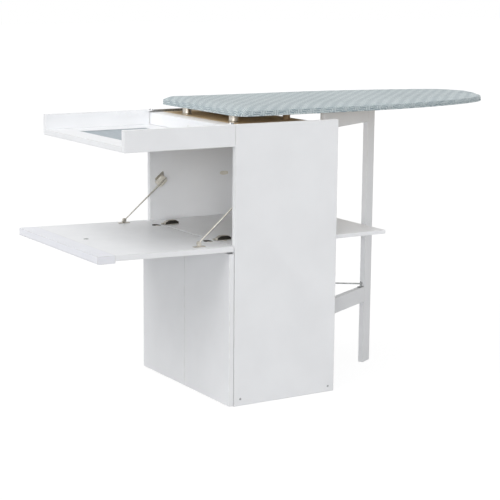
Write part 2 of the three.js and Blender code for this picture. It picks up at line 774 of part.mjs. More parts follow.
// The outline moved inwards by a distance, each point along its own normal.
function insetOutline(points, distance) {
  return points.map((p, i) => {
    const before = points[(i + points.length - 1) % points.length];
    const after = points[(i + 1) % points.length];
    const along = after.clone().sub(before).normalize();
    return new THREE.Vector2(p.x - along.y * distance, p.y + along.x * distance);
  });
}

// The outline shrunk about the middle of the board.
function shrunkOutline(points, share) {
  const middle = (boardFront + boardNose) / 2;
  return points.map((p) => new THREE.Vector2(p.x * share, middle + (p.y - middle) * share));
}

// A closed skin through rings of one point count, from the lowest inner ring round to the inner top.
function ringSolid(rings) {
  const count = rings[0].points.length;
  const positions = rings.flatMap(({ points, z }) => points.flatMap((p) => [p.x, p.y, z]));
  const index = [];
  for (let level = 0; level < rings.length - 1; level += 1) {
    for (let i = 0; i < count; i += 1) {
      const next = (i + 1) % count;
      const a = level * count + i;
      const b = level * count + next;
      index.push(a, b, b + count, a, b + count, a + count);
    }
  }
  const capFaces = (ring, offset, flip) => {
    for (const [a, b, c] of THREE.ShapeUtils.triangulateShape(ring.points, [])) {
      index.push(offset + a, offset + (flip ? c : b), offset + (flip ? b : c));
    }
  };
  capFaces(rings[0], 0, true);
  capFaces(rings[rings.length - 1], (rings.length - 1) * count, false);
  const geometry = new THREE.BufferGeometry();
  geometry.setAttribute("position", new THREE.Float32BufferAttribute(positions, 3));
  geometry.setIndex(index);
  return geometry.toNonIndexed();
}

const outer = boardOutline();
const coreTop = boardUnderside + coreThickness;
const coverTop = coreTop + coverPadding;
const hemInset = 1.5; // the cover's lower edge is pulled in under the board
const hemHeight = 4;
const bellyHeight = 11; // where the cover's side stands furthest out
const sideLean = 0.8;
const shoulder = 6; // radius of the soft edge round the top
const shoulderBend = 0.3 * shoulder;
const coverRings = [
  ...[
    [hemInset, boardUnderside],
    [hemInset / 6, boardUnderside + hemHeight],
    [0, boardUnderside + bellyHeight],
    [sideLean, coverTop - shoulder],
    [sideLean + shoulderBend, coverTop - shoulderBend],
    [sideLean + shoulder, coverTop],
  ].map(([inset, z]) => ({ points: insetOutline(outer, inset), z })),
  { points: shrunkOutline(outer, coverCrownShare), z: coverTop + coverCrown },
];
const coreOutline = new THREE.Shape(insetOutline(outer, coverSkirt));
const pocketOutline = new THREE.Shape(insetOutline(outer, coverSkirt - cutGap));
const coverBody = ringSolid(coverRings);
const pocket = alongZ(pocketOutline, boardUnderside - 1, coreTop + cutGap);
add("board_cover", cut(coverBody, pocket), boardFabric);

// The hinge strip lies flush in the underside, across the joint between the board's two cores.
const boardJoint = cabinetDepth + boardJointBehind;
const stripEndInset = 63; // from the board's long edges
const stripHalf = boardHalfWidth - stripEndInset;
const stripReach = 16;
const stripThickness = 2;
const stripPocket = block(
  -stripHalf - cutGap, stripHalf + cutGap,
  boardJoint - stripReach - cutGap, boardJoint + stripReach + cutGap,
  boardUnderside - 1, boardUnderside + stripThickness + 2 * cutGap,
);
const coreBlank = alongZ(coreOutline, boardUnderside, coreTop);
const jointHalfGap = 0.4;
const beyond = 2 * boardHalfWidth;
const frontHalf = block(-beyond, beyond, -beyond, boardJoint + jointHalfGap, 0, 2 * cabinetHeight);
const rearHalf = block(-beyond, beyond, boardJoint - jointHalfGap, boardNose + beyond, 0, 2 * cabinetHeight);
add("board_core_front", cut(coreBlank, rearHalf, stripPocket), rawBoard);
add("board_core_leaf", cut(coreBlank, frontHalf, stripPocket), rawBoard);
add("leaf_hinge_strip", block(
  -stripHalf, stripHalf, boardJoint - stripReach, boardJoint + stripReach,
  boardUnderside + cutGap, boardUnderside + cutGap + stripThickness,
), steel);

const spacerAcross = boardHalfWidth - spacerFromEdge;
const spacerRows = [
  ["front", frontSpacerY, steel],
  ["rear", topPanelEnd - rearSpacerFromEnd, rawBoard],
];
for (const [row, y, material] of spacerRows) {
  for (const [side, sign] of sides) {
    const spacer = bar(
      "z", spacerRadius, topLevel + seat, boardUnderside - seat, sign * spacerAcross, y,
    );
    add(`board_spacer_${row}_${side}`, spacer, material);
  }
}

// ---------- origin ----------

const flapReach = -flapFree * Math.cos(flapTilt) + flapTop * Math.sin(flapTilt);
const frontEnd = flapAxisY - flapReach;
cabinet.position.y = -(frontEnd + boardNose) / 2;

export default assembly;
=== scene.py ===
import json
import math
import random

import bmesh
import bpy
from mathutils import Euler, Matrix, Vector
from mathutils.geometry import interpolate_bezier
from mathutils.kdtree import KDTree


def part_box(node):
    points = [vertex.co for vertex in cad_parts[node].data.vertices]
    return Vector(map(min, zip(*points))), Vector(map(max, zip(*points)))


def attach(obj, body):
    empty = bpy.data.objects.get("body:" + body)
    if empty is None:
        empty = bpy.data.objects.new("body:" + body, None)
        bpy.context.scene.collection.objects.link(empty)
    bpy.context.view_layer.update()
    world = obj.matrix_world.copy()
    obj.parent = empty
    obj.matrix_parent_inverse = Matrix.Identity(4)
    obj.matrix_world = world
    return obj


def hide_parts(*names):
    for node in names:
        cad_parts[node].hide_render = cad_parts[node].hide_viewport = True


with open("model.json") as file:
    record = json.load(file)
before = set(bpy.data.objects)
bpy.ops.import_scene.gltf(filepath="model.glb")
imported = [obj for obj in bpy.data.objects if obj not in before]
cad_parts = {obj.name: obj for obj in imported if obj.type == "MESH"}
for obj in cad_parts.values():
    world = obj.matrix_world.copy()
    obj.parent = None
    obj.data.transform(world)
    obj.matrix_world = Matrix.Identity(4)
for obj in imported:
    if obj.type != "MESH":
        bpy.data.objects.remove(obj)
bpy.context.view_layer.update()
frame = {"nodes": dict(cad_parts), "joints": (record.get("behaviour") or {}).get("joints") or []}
nodes = frame["nodes"]
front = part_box("side_panel_left")[0].y  # the front edges of the side panels


# ---------- Side panels ----------
# Two chipboard panels with a white foil stand on the floor and carry the rest of the cabinet.
# Every board of the cabinet is finished as they are: faces of foil, edges banded and eased by hand.

WHITE = (236, 237, 239)
WHITE_SHADE = (232, 233, 235)
WORN_EDGE = (214, 213, 209)
WORN_SHARE = 0.55  # how much of the worn colour a fully rubbed edge shows
WORN_DULLER = 0.12
FINE_RELIEF = 0.00002  # the height of pressed foil's dimples, and of the grain of moulded plastic
BOARD_EASE = 0.0009  # radius on the boards' edges
SHORT_EDGE = 0.010  # round cup holes and pins have shorter edges than this, and stay sharp
SAME_PLACE = 0.00002  # corners of the frame's triangles that are nearer than this are one
FLAT_WITHIN = math.radians(0.5)
SHARP_FROM = math.radians(42)  # gentler edges are shaded smooth


def looks(red, green, blue, alpha=1.0):
    """A colour as it looks, from 0 to 255, in the linear values that a shader takes."""
    shares = [c / 255 for c in (red, green, blue)]
    return (*[c / 12.92 if c <= 0.04045 else ((c + 0.055) / 1.055) ** 2.4 for c in shares], alpha)


def put(tree, kind, sockets=None, **settings):
    """Adds a node: its settings, then its sockets, each a value or another node's output."""
    made = tree.nodes.new(kind)
    for key, value in settings.items():
        setattr(made, key, value)
    for key, value in (sockets or {}).items():
        if isinstance(value, bpy.types.NodeSocket):
            tree.links.new(value, made.inputs[key])
        else:
            made.inputs[key].default_value = value
    return made


def figure(tree, operation, first, second=0.0):
    """A sum on two numbers."""
    return put(tree, "ShaderNodeMath", {0: first, 1: second}, operation=operation).outputs[0]


def vectors(tree, operation, first, second=(0.0, 0.0, 0.0)):
    """A sum on two places."""
    return put(tree, "ShaderNodeVectorMath", {0: first, 1: second}, operation=operation).outputs[0]


def blended(tree, share, first, second):
    """A colour between two others."""
    return put(tree, "ShaderNodeMix", {0: share, 6: first, 7: second}, data_type="RGBA").outputs[2]


def ranged(tree, value, low, high, new_low=0.0, new_high=1.0):
    """A value carried from one range to another, and held inside it."""
    sockets = {0: value, 1: low, 2: high, 3: new_low, 4: new_high}
    return put(tree, "ShaderNodeMapRange", sockets).outputs[0]


def speckle(tree, place, scale, detail=2.0, roughness=0.5):
    """Soft noise, with its grains 1 / scale metres apart."""
    sockets = {"Vector": place, "Scale": scale, "Detail": detail, "Roughness": roughness}
    return put(tree, "ShaderNodeTexNoise", sockets).outputs["Fac"]


def effect(name, inputs, outputs):
    """An empty shader node group with its sockets."""
    group = bpy.data.node_groups.new(name, "ShaderNodeTree")
    kinds = {float: "NodeSocketFloat", tuple: "NodeSocketVector"}
    for label, value in inputs.items():
        kind = "NodeSocketColor" if "Colour" in label else kinds[type(value)]
        socket = group.interface.new_socket(label, in_out="INPUT", socket_type=kind)
        socket.default_value = value
    for label in outputs:
        kind = "NodeSocketColor" if "Colour" in label else "NodeSocketFloat"
        group.interface.new_socket(label, in_out="OUTPUT", socket_type=kind)
    return group, group.nodes.new("NodeGroupInput").outputs, group.nodes.new("NodeGroupOutput").inputs


def placed(tree, group, **sockets):
    """An effect placed in a material; names with spaces are given with underscores."""
    spaced = {key.replace("_", " "): value for key, value in sockets.items()}
    return put(tree, "ShaderNodeGroup", spaced, node_tree=group).outputs


def clouded(tree, given, gives, scale, detail, low, high):
    """Lets an effect's colour drift to its shade in soft clouds, and hands on where it does."""
    cloud = ranged(tree, speckle(tree, given["Position"], scale, detail), low, high)
    tree.links.new(blended(tree, cloud, given["Colour"], given["Shade Colour"]), gives["Colour"])
    return cloud


# Rubbed edges: full where two faces of a board meet, nothing further in than the reach.
edge_wear, given, gives = effect(
    "edge wear",
    {"Position": (0.0, 0.0, 0.0), "Half Size": (1.0, 1.0, 1.0), "Reach": 0.003},
    ["Mask"],
)
away = vectors(edge_wear, "ABSOLUTE", given["Position"])
inside = vectors(edge_wear, "SUBTRACT", given["Half Size"], away)
depths = put(edge_wear, "ShaderNodeSeparateXYZ", {0: inside}).outputs
total = figure(edge_wear, "ADD", figure(edge_wear, "ADD", depths[0], depths[1]), depths[2])
furthest = figure(edge_wear, "MAXIMUM", figure(edge_wear, "MAXIMUM", depths[0], depths[1]), depths[2])
rim = ranged(edge_wear, figure(edge_wear, "SUBTRACT", total, furthest), 0.0, given["Reach"], 1.0, 0.0)
patchy = ranged(edge_wear, speckle(edge_wear, given["Position"], 45.0, 3.0), 0.42, 0.62, 0.25, 1.0)
edge_wear.links.new(figure(edge_wear, "MULTIPLY", rim, patchy), gives["Mask"])

# White foil: a faint cloudiness in colour and gloss, and the shallow dimples of its pressing.
foil, given, gives = effect(
    "foil",
    {"Position": (0.0, 0.0, 0.0), "Colour": looks(*WHITE), "Shade Colour": looks(*WHITE_SHADE)},
    ["Colour", "Roughness", "Height"],
)
clouded(foil, given, gives, 7.0, 4.0, 0.35, 0.68)
handled = speckle(foil, given["Position"], 31.0, 5.0, 0.6)
foil.links.new(ranged(foil, handled, 0.3, 0.7, 0.36, 0.5), gives["Roughness"])
foil.links.new(speckle(foil, given["Position"], 950.0, 1.0), gives["Height"])


def finish(name):
    """A new material: its tree, its surface shader and the piece's own coordinates."""
    made = bpy.data.materials.new(name)
    made.use_nodes = True
    tree = made.node_tree
    return made, tree, tree.nodes["Principled BSDF"].inputs, put(tree, "ShaderNodeTexCoord").outputs["Object"]


def raised(tree, surface, height, distance):
    """The relief of a surface, with its full height in metres."""
    bump = put(tree, "ShaderNodeBump", {"Height": height, "Distance": distance, "Strength": 1.0})
    tree.links.new(bump.outputs[0], surface["Normal"])


def foil_finish(name, shape, turn, colour=WHITE, shade=WHITE_SHADE):
    """Foil for one board, whose rubbed edges follow its own size and turn."""
    back = Euler(turn).to_matrix().transposed()
    spots = [back @ corner.co for corner in shape.verts]
    low = Vector([min(s[i] for s in spots) for i in range(3)])
    high = Vector([max(s[i] for s in spots) for i in range(3)])
    made, tree, surface, own = finish(f"{name} foil")
    sockets = {"Vector": own, "Location": Euler(turn).to_matrix() @ ((low + high) / 2), "Rotation": turn}
    place = put(tree, "ShaderNodeMapping", sockets, vector_type="TEXTURE").outputs[0]
    face = placed(tree, foil, Position=place, Colour=looks(*colour), Shade_Colour=looks(*shade))
    worn = placed(tree, edge_wear, Position=place, Half_Size=tuple((high - low) / 2))["Mask"]
    rubbed = figure(tree, "MULTIPLY", worn, WORN_SHARE)
    duller = figure(tree, "MULTIPLY", worn, WORN_DULLER)
    tree.links.new(blended(tree, rubbed, face["Colour"], looks(*WORN_EDGE)), surface["Base Color"])
    tree.links.new(figure(tree, "ADD", face["Roughness"], duller), surface["Roughness"])
    raised(tree, surface, face["Height"], FINE_RELIEF)
    return made


def own_outline(node):
    """A bmesh of the node as the frame has it, merged, with its flat faces whole."""
    shape = bmesh.new()
    shape.from_mesh(nodes[node].data)
    bmesh.ops.remove_doubles(shape, verts=shape.verts, dist=SAME_PLACE)
    bmesh.ops.dissolve_limit(
        shape, angle_limit=FLAT_WITHIN, use_dissolve_boundaries=False,
        verts=shape.verts, edges=shape.edges,
    )
    return shape


def rounded_off(shape, edges, radius, steps):
    """Gives some edges of a shape a radius."""
    bmesh.ops.bevel(
        shape, geom=edges, offset=radius, offset_type="OFFSET", segments=steps,
        profile=0.5, affect="EDGES", clamp_overlap=True, material=-1,
    )


def eased(shape, radius, shortest=0.0, steps=3, sharp=30):
    """Rounds the edges of a shape that are sharper than an angle and longer than a length."""
    edges = [
        e for e in shape.edges
        if len(e.link_faces) == 2
        and e.calc_length() > shortest
        and e.calc_face_angle(0.0) > math.radians(sharp)
    ]
    rounded_off(shape, edges, radius, steps)
    return shape


def mesh_of(name, shape):
    """A mesh made of a shape, which is used up."""
    mesh = bpy.data.meshes.new(name)
    shape.to_mesh(mesh)
    shape.free()
    return mesh


def in_scene(name, data):
    """A new object in the scene."""
    made = bpy.data.objects.new(name, data)
    bpy.context.scene.collection.objects.link(made)
    return made


def gathered(*shapes):
    """Several shapes as one."""
    whole = bmesh.new()
    for shape in shapes:
        passing = mesh_of("passing", shape)
        whole.from_mesh(passing)
        bpy.data.meshes.remove(passing)
    return whole


def piece(name, shape, material, body, slot, *stands_for):
    """A finished piece of the cabinet, riding on its body, in place of the nodes it stands for."""
    mesh = mesh_of(name, shape)
    if mesh.attributes.get("custom_normal"):
        mesh.attributes.remove(mesh.attributes["custom_normal"])
    mesh.shade_smooth()
    mesh.set_sharp_from_angle(angle=SHARP_FROM)
    mesh.materials.append(material)
    made = in_scene(name, mesh)
    made.modifiers.new("flat faces stay flat", "WEIGHTED_NORMAL").keep_sharp = True
    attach(made, body)
    if stands_for:
        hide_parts(*stands_for)
    return made


def board(node, body, turn=(0.0, 0.0, 0.0)):
    """One foiled board: the node's own shape with its edges eased."""
    shape = eased(own_outline(node), BOARD_EASE, SHORT_EDGE)
    return piece(f"{node}_board", shape, foil_finish(node, shape, turn), body, "white_board", node)


for side in ("left", "right"):
    board(f"side_panel_{side}", "cabinet")


# ---------- Carcass boards ----------
# The bottom, the compartment's floor, the front rail and the rear rails are screwed between the side
# panels; the thin back panel slides into grooves. They are foiled like the side panels.

for node in ("bottom_panel", "compartment_floor", "top_front_rail", "back_panel",
             "rear_rail_upper", "rear_rail_lower", "shelf_stop_rail"):
    board(node, "cabinet")


# ---------- Top panel ----------
# The board under the ironing board is plain hardboard, brown and unpainted, and shows its fibres. It lies
# between the side panels, a little below their upper edges.

FIBRE_LIGHT = (240, 226, 198)
FIBRE_MIDDLE = (226, 208, 176)
FIBRE_DARK = (194, 172, 140)
HARDBOARD_CHIPS = 260.0  # chips to a metre
WOOD_RELIEF = 0.00012
HARDBOARD_EASE = 0.0006

# Pressed wood: flat chips of several browns, with fibres drawn along the board between them.
chips, given, gives = effect(
    "pressed wood",
    {"Position": (0.0, 0.0, 0.0), "Light Colour": looks(*FIBRE_LIGHT),
     "Middle Colour": looks(*FIBRE_MIDDLE), "Dark Colour": looks(*FIBRE_DARK),
     "Chips": HARDBOARD_CHIPS},
    ["Colour", "Roughness", "Height"],
)
cells = put(chips, "ShaderNodeTexVoronoi", {"Vector": given["Position"], "Scale": given["Chips"]})
chip = put(chips, "ShaderNodeSeparateColor", {0: cells.outputs["Color"]}).outputs[0]
strand = speckle(chips, vectors(chips, "MULTIPLY", given["Position"], (1.0, 0.12, 1.0)), 900.0, 3.0, 0.6)
tone = blended(chips, chip, given["Dark Colour"], given["Light Colour"])
tone = blended(chips, 0.62, tone, given["Middle Colour"])
chips.links.new(
    blended(chips, ranged(chips, strand, 0.35, 0.7, 0.0, 0.5), tone, given["Light Colour"]),
    gives["Colour"],
)
chips.links.new(ranged(chips, strand, 0.3, 0.7, 0.72, 0.92), gives["Roughness"])
chips.links.new(figure(chips, "ADD", strand, figure(chips, "MULTIPLY", chip, 0.4)), gives["Height"])


def one_effect(name, group, relief, **sockets):
    """A finish that is one effect all over, placed by the piece's own coordinates."""
    made, tree, surface, own = finish(name)
    look = placed(tree, group, Position=own, **sockets)
    tree.links.new(look["Colour"], surface["Base Color"])
    tree.links.new(look["Roughness"], surface["Roughness"])
    raised(tree, surface, look["Height"], relief)
    return made


def pressed_wood(name, chips_to_a_metre):
    return one_effect(name, chips, WOOD_RELIEF, Chips=chips_to_a_metre)


piece("top_panel_board", eased(own_outline("top_panel"), HARDBOARD_EASE),
      pressed_wood("hardboard", HARDBOARD_CHIPS), "cabinet", "raw_board", "top_panel")


# ---------- Screws ----------
# Cross-head screws of plated steel hold the boards and the fittings: a low head with a cross sunk into it.
# Two go through each side panel near its lower corners, and sit in the foil.

NICKEL = (212, 208, 200)
NICKEL_SHADE = (188, 183, 172)
ZINC = (172, 174, 174)
ZINC_SHADE = (142, 144, 145)
PLATING_RELIEF = 0.0000015
SIDES = (("left", -1), ("right", 1))

# A head's proportions are shares of its radius.
HEAD_TOP = 0.74
HEAD_STEPS = ((1.26, 0.1), (1.07, 0.14), (1.0, 0.3))  # how much wider, and how much lower, each ring is
HEAD_STANDS = 0.2
CROSS_HALF_WIDE = 0.12
CROSS_REACH = 0.5
CROSS_DEEP = 0.34

PANEL_SCREW = 0.0042
PANEL_SCREW_SUNK = 0.0004
PANEL_SCREW_PLACES = ((0.023, 0.022), (0.353, 0.018))  # behind the front edge, and above the floor

# Plated steel: cloudy plating, duller where it is handled, with fine scratches across the cabinet.
plating, given, gives = effect(
    "plating",
    {"Position": (0.0, 0.0, 0.0), "Colour": looks(*NICKEL), "Shade Colour": looks(*NICKEL_SHADE),
     "Polish": 0.3},
    ["Colour", "Roughness", "Height"],
)
cloud = clouded(plating, given, gives, 120.0, 4.0, 0.36, 0.66)
scratches = speckle(plating, vectors(plating, "MULTIPLY", given["Position"], (0.08, 1.0, 1.0)), 5200.0)
dull = figure(plating, "MULTIPLY", cloud, 0.12)
plating.links.new(
    figure(plating, "ADD", figure(plating, "ADD", given["Polish"], dull),
           ranged(plating, scratches, 0.4, 0.75, 0.0, 0.08)),
    gives["Roughness"],
)
plating.links.new(scratches, gives["Height"])


def plated(name, colour, shade, polish):
    made = one_effect(name, plating, PLATING_RELIEF, Colour=looks(*colour), Shade_Colour=looks(*shade),
                      Polish=polish)
    made.node_tree.nodes["Principled BSDF"].inputs["Metallic"].default_value = 1.0
    return made


nickel = plated("nickel plating", NICKEL, NICKEL_SHADE, 0.3)
zinc = plated("zinc plating", ZINC, ZINC_SHADE, 0.34)


def pushed_out(shape, faces, by):
    """Extrudes faces by a distance in a direction."""
    grown = bmesh.ops.extrude_face_region(shape, geom=faces)["geom"]
    bmesh.ops.translate(shape, vec=by, verts=[v for v in grown if isinstance(v, bmesh.types.BMVert)])


def ring_on(shape, rim):
    """Extrudes the open edges of a shape: the ring's corners, and its own open edges."""
    grown = bmesh.ops.extrude_edge_only(shape, edges=rim)["geom"]
    corners = [v for v in grown if isinstance(v, bmesh.types.BMVert)]
    return corners, [e for e in grown if isinstance(e, bmesh.types.BMEdge) and e.is_boundary]


def set_at(shape, matrix):
    """Takes a whole shape to its place."""
    bmesh.ops.transform(shape, matrix=matrix, verts=shape.verts)
    return shape


def looking(direction):
    """The turn that takes Z to a direction."""
    return Vector(direction).to_track_quat("Z", "Y").to_matrix().to_4x4()


def cross_screw(radius, place, outward):
    """A screw head with its face at a place, looking outward."""
    shape = bmesh.new()
    bmesh.ops.create_circle(shape, cap_ends=True, segments=20, radius=HEAD_TOP * radius)
    slot = CROSS_HALF_WIDE * radius
    reach = CROSS_REACH * radius
    for axis in range(2):
        across = Vector((axis == 0, axis == 1, 0))
        for cut in (-reach, -slot, slot, reach):
            geometry = shape.verts[:] + shape.edges[:] + shape.faces[:]
            bmesh.ops.bisect_plane(shape, geom=geometry, plane_co=across * cut, plane_no=across)
    cross = []
    for face in shape.faces:
        middle = face.calc_center_median()
        near, far = sorted((abs(middle.x), abs(middle.y)))
        if near < slot and far < reach:
            cross.append(face)
    rim = [e for e in shape.edges if e.is_boundary]
    pushed_out(shape, cross, (0, 0, -CROSS_DEEP * radius))
    for spread, drop in HEAD_STEPS:
        corners, rim = ring_on(shape, rim)
        bmesh.ops.scale(shape, vec=(spread, spread, 1), verts=corners)
        bmesh.ops.translate(shape, vec=(0, 0, -drop * radius), verts=corners)
    bmesh.ops.contextual_create(shape, geom=rim)
    bmesh.ops.recalc_face_normals(shape, faces=shape.faces)
    stand = Matrix.Translation((0, 0, HEAD_STANDS * radius))
    return set_at(shape, Matrix.Translation(place) @ looking(outward) @ stand)


def own_side(node, sign):
    """How far the node's box reaches to its own side, where -1 is the left and 1 the right."""
    low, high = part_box(node)
    return high.x if sign > 0 else low.x


for side, sign in SIDES:
    sunk = own_side(f"side_panel_{side}", sign) - sign * PANEL_SCREW_SUNK
    heads = [cross_screw(PANEL_SCREW, (sunk, front + y, z), (sign, 0, 0)) for y, z in PANEL_SCREW_PLACES]
    piece(f"side_panel_screws_{side}", gathered(*heads), zinc, "cabinet", "hinge_steel")


# ---------- Flap ----------
# A foiled board, hinged to the compartment's floor; open, it is the writing top. A thicker profile of
# pale plastic is glued round its free end, and overhangs its underside.

FLAP_TILT = math.radians(1.3)  # its free end stands a little high
LIP_LONG = 0.058
LIP_EASE = 0.0012
LIP_SEAM = 0.00005  # between the board and the profile
LIP_COLOUR = (232, 233, 238)
LIP_SHADE = (228, 229, 235)

joints = {joint["name"]: joint for joint in frame["joints"]}
flap_axis = Vector(joints["flap_hinge"]["pos_m"])
on_flap = Matrix.Translation(flap_axis) @ Matrix.Rotation(-FLAP_TILT, 4, "X")
flap_turn = (-FLAP_TILT, 0.0, 0.0)
to_flap = on_flap.inverted()
free_end = min((to_flap @ corner.co).y for corner in nodes["flap_panel"].data.vertices)


def cut_off(shape, place, direction):
    """Keeps the part of a closed shape that lies along a direction from a place, and closes it there."""
    geometry = shape.verts[:] + shape.edges[:] + shape.faces[:]
    cut = bmesh.ops.bisect_plane(
        shape, geom=geometry, plane_co=place, plane_no=direction, clear_inner=True
    )["geom_cut"]
    bmesh.ops.contextual_create(shape, geom=[e for e in cut if isinstance(e, bmesh.types.BMEdge)])
    return shape


lip_start = on_flap @ Vector((0.0, free_end + LIP_LONG, 0.0))
along_flap = on_flap.to_3x3() @ Vector((0.0, 1.0, 0.0))
shape = cut_off(own_outline("flap_panel"), lip_start + along_flap * LIP_SEAM, along_flap)
eased(shape, BOARD_EASE, SHORT_EDGE)
piece("flap_panel_board", shape, foil_finish("flap_panel", shape, flap_turn), "flap", "white_board",
      "flap_panel")
shape = eased(cut_off(own_outline("flap_panel"), lip_start, -along_flap), LIP_EASE, SHORT_EDGE)
piece("flap_end_profile", shape, foil_finish("flap_end", shape, flap_turn, LIP_COLOUR, LIP_SHADE),
      "flap", "white_board")


# ---------- Concealed hinges ----------
# Each has a pressed cup let into the moving board, and an arm on a cross-shaped plate that is screwed
# to the fixed one. Cups and arms are nickel-plated steel; the cups' bowls and the links are painted nearly
# black, and the arms' sunk panels darker, as painted shade.

RECESS_SHADE = (84, 81, 76)
RECESS_SHADE_CLOUD = (60, 58, 54)
SHADE_BLACK = (40, 38, 36)
SHADE_BLACK_CLOUD = (27, 26, 25)
STEEL_EASE = 0.0006

FLAP_CUP = (0.013, 0.011, 0.038, 0.00125)  # a cup's radius and depth, its flange's length and thickness
FLAP_CUP_SEAT = (-0.0175, 0.01025)  # its middle and mouth, from the flap's axis
FLANGE_OVER = 0.0008  # how much wider than the cup its flange is, on each side
CUP_FLOOR = 0.0016
CUP_SCREW = 0.0021

ARM_SCREW = 0.0030
ARM_SCREW_PLACES = (-0.0056, 0.0054)  # along the arm, from its middle
BACK_SUNK = 0.0024  # how deep the panel in an arm's back is pressed
SIDE_SUNK = 0.0009
PLATE_THICK = 0.0019
PLATE_SCREW = 0.0026
PLATE_SCREW_ACROSS = 0.0131

NOSE_HALVES = (0.0040, 0.0050, 0.0026)
NOSE_AT = (-0.0030, 0.0138)  # back from the cabinet's front, so it stands before it, and above the axis
KNUCKLE_AT = (-0.0073, 0.0142)
KNUCKLE_RADIUS = 0.0027
KNUCKLE_REACH = 0.0046
LINK_HALVES = (0.0013, 0.0064, 0.0052)
LINK_AT = (0.0066, -0.0098, 0.0060)  # to each side of the hinge's middle, and from the flap's axis
NOSE_EASE = 0.0009
LINK_EASE = 0.0007

# This darker steel colours the sunk panels of the hinge arms as painted shade.
dark_steel = plated("painted recess shade", RECESS_SHADE, RECESS_SHADE_CLOUD, 0.36)

# Moulded plastic: faint clouds and a fine grain. The hinges' near-black painted shade, paint and lacquer have
# the same skin.
moulded, given, gives = effect(
    "moulded plastic",
    {"Position": (0.0, 0.0, 0.0), "Colour": looks(*WHITE), "Shade Colour": looks(*WHITE_SHADE)},
    ["Colour", "Roughness", "Height"],
)
clouded(moulded, given, gives, 60.0, 3.0, 0.36, 0.66)
grain = speckle(moulded, given["Position"], 2600.0)
moulded.links.new(ranged(moulded, grain, 0.3, 0.7, 0.38, 0.5), gives["Roughness"])
moulded.links.new(grain, gives["Height"])


def plastic(name, colour, shade):
    return one_effect(name, moulded, FINE_RELIEF, Colour=looks(*colour), Shade_Colour=looks(*shade))


# Near black, painted on the hinges' cup bowls and links as painted shade.
shade_black = plastic("painted shade black", SHADE_BLACK, SHADE_BLACK_CLOUD)


def lofted(loops, count=32):
    """A closed skin through loops round Z, each half_long, half_wide, height and roundness: a circle at
    roundness 1, nearly a rectangle at 0.4, pinched to ears at 1.3."""
    shape = bmesh.new()
    bmesh.ops.create_circle(shape, segments=count, radius=1.0)
    rim = shape.edges[:]
    for _ in loops[1:]:
        corners, rim = ring_on(shape, rim)
        bmesh.ops.translate(shape, vec=(0, 0, 1), verts=corners)
    bmesh.ops.holes_fill(shape, edges=[e for e in shape.edges if e.is_boundary], sides=0)
    for vertex in shape.verts:
        half_long, half_wide, height, roundness = loops[round(vertex.co.z)]
        x, y = vertex.co.xy
        vertex.co = (
            math.copysign(abs(x) ** roundness, x) * half_long,
            math.copysign(abs(y) ** roundness, y) * half_wide,
            height,
        )
    bmesh.ops.recalc_face_normals(shape, faces=shape.faces)
    return shape


def hinge_cup(radius, depth, flange_long, lip):
    """A cup with its flange, its mouth up and its flange's underside at z = 0, with its two screws."""
    long, wide = flange_long / 2, radius + FLANGE_OVER
    cup = lofted([
        (radius, radius, -depth, 1.0),
        (radius, radius, 0.0, 1.0),
        (long, wide, 0.0, 1.3),
        (long, wide, 0.6 * lip, 1.3),
        (long - 0.4 * lip, wide - 0.4 * lip, lip, 1.3),
        (radius - 0.0004, radius - 0.0004, lip, 1.0),
        (radius - 0.0012, radius - 0.0012, lip - 0.0008, 1.0),
        (radius - 0.0018, radius - 0.0018, CUP_FLOOR - depth, 1.0),
    ])
    across = (radius + long) / 2
    screws = [cross_screw(CUP_SCREW, (sign * across, 0, lip), (0, 0, 1)) for sign in (-1, 1)]
    return gathered(cup, *screws)


def painted(made, material, chosen):
    """Gives those faces of a piece that are chosen another finish."""
    made.data.materials.append(material)
    for face in made.data.polygons:
        if chosen(face):
            face.material_index = 1


def cup_piece(name, body, matrix, cup, ears):
    """A cup set in its board, its bowl, and on the flap the middle of its flange too, painted nearly black as
    painted shade; its flange's ears can stay bright.
    """
    radius, flange_long = cup[0], cup[2]
    to_cup = matrix.inverted()

    def is_shade_painted(face):
        place = to_cup @ face.center
        return place.xy.length < (radius + 0.0006 if ears else flange_long) and abs(place.x) < radius

    made = piece(f"{name}_pressed", set_at(hinge_cup(*cup), matrix), nickel, body, "hinge_steel", name)
    # The bowl, and on the flap the middle of the flange, are painted nearly black as painted shade.
    painted(made, shade_black, is_shade_painted)


def boxed(halves, place, radius):
    """A block with eased edges, from half its sizes and its middle."""
    shape = bmesh.new()
    bmesh.ops.create_cube(shape, size=2.0)
    bmesh.ops.scale(shape, vec=halves, verts=shape.verts)
    bmesh.ops.translate(shape, vec=place, verts=shape.verts)
    return eased(shape, radius)


def rod_between(start, end, radius, round_off=0.0006):
    """A round bar with eased ends."""
    start, end = Vector(start), Vector(end)
    length = (end - start).length
    shape = bmesh.new()
    bmesh.ops.create_cone(shape, cap_ends=True, segments=24, radius1=radius, radius2=radius, depth=length)
    eased(shape, round_off, 0.0, 2, 60)
    return set_at(shape, Matrix.Translation((start + end) / 2) @ looking(end - start))


def pressed_in(shape, direction, margin, depth):
    """Sinks a panel into each large face that looks along a direction."""
    faces = [f for f in shape.faces if f.normal.dot(direction) > 0.95 and f.calc_area() > 0.00009]
    bmesh.ops.inset_individual(shape, faces=faces, thickness=margin, depth=-depth)


def axes_along(x, y, z):
    """The turn that takes a shape's own axes to these directions."""
    return Matrix((x, y, z)).transposed().to_4x4()


def middle_of(node):
    low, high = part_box(node)
    return (low + high) / 2


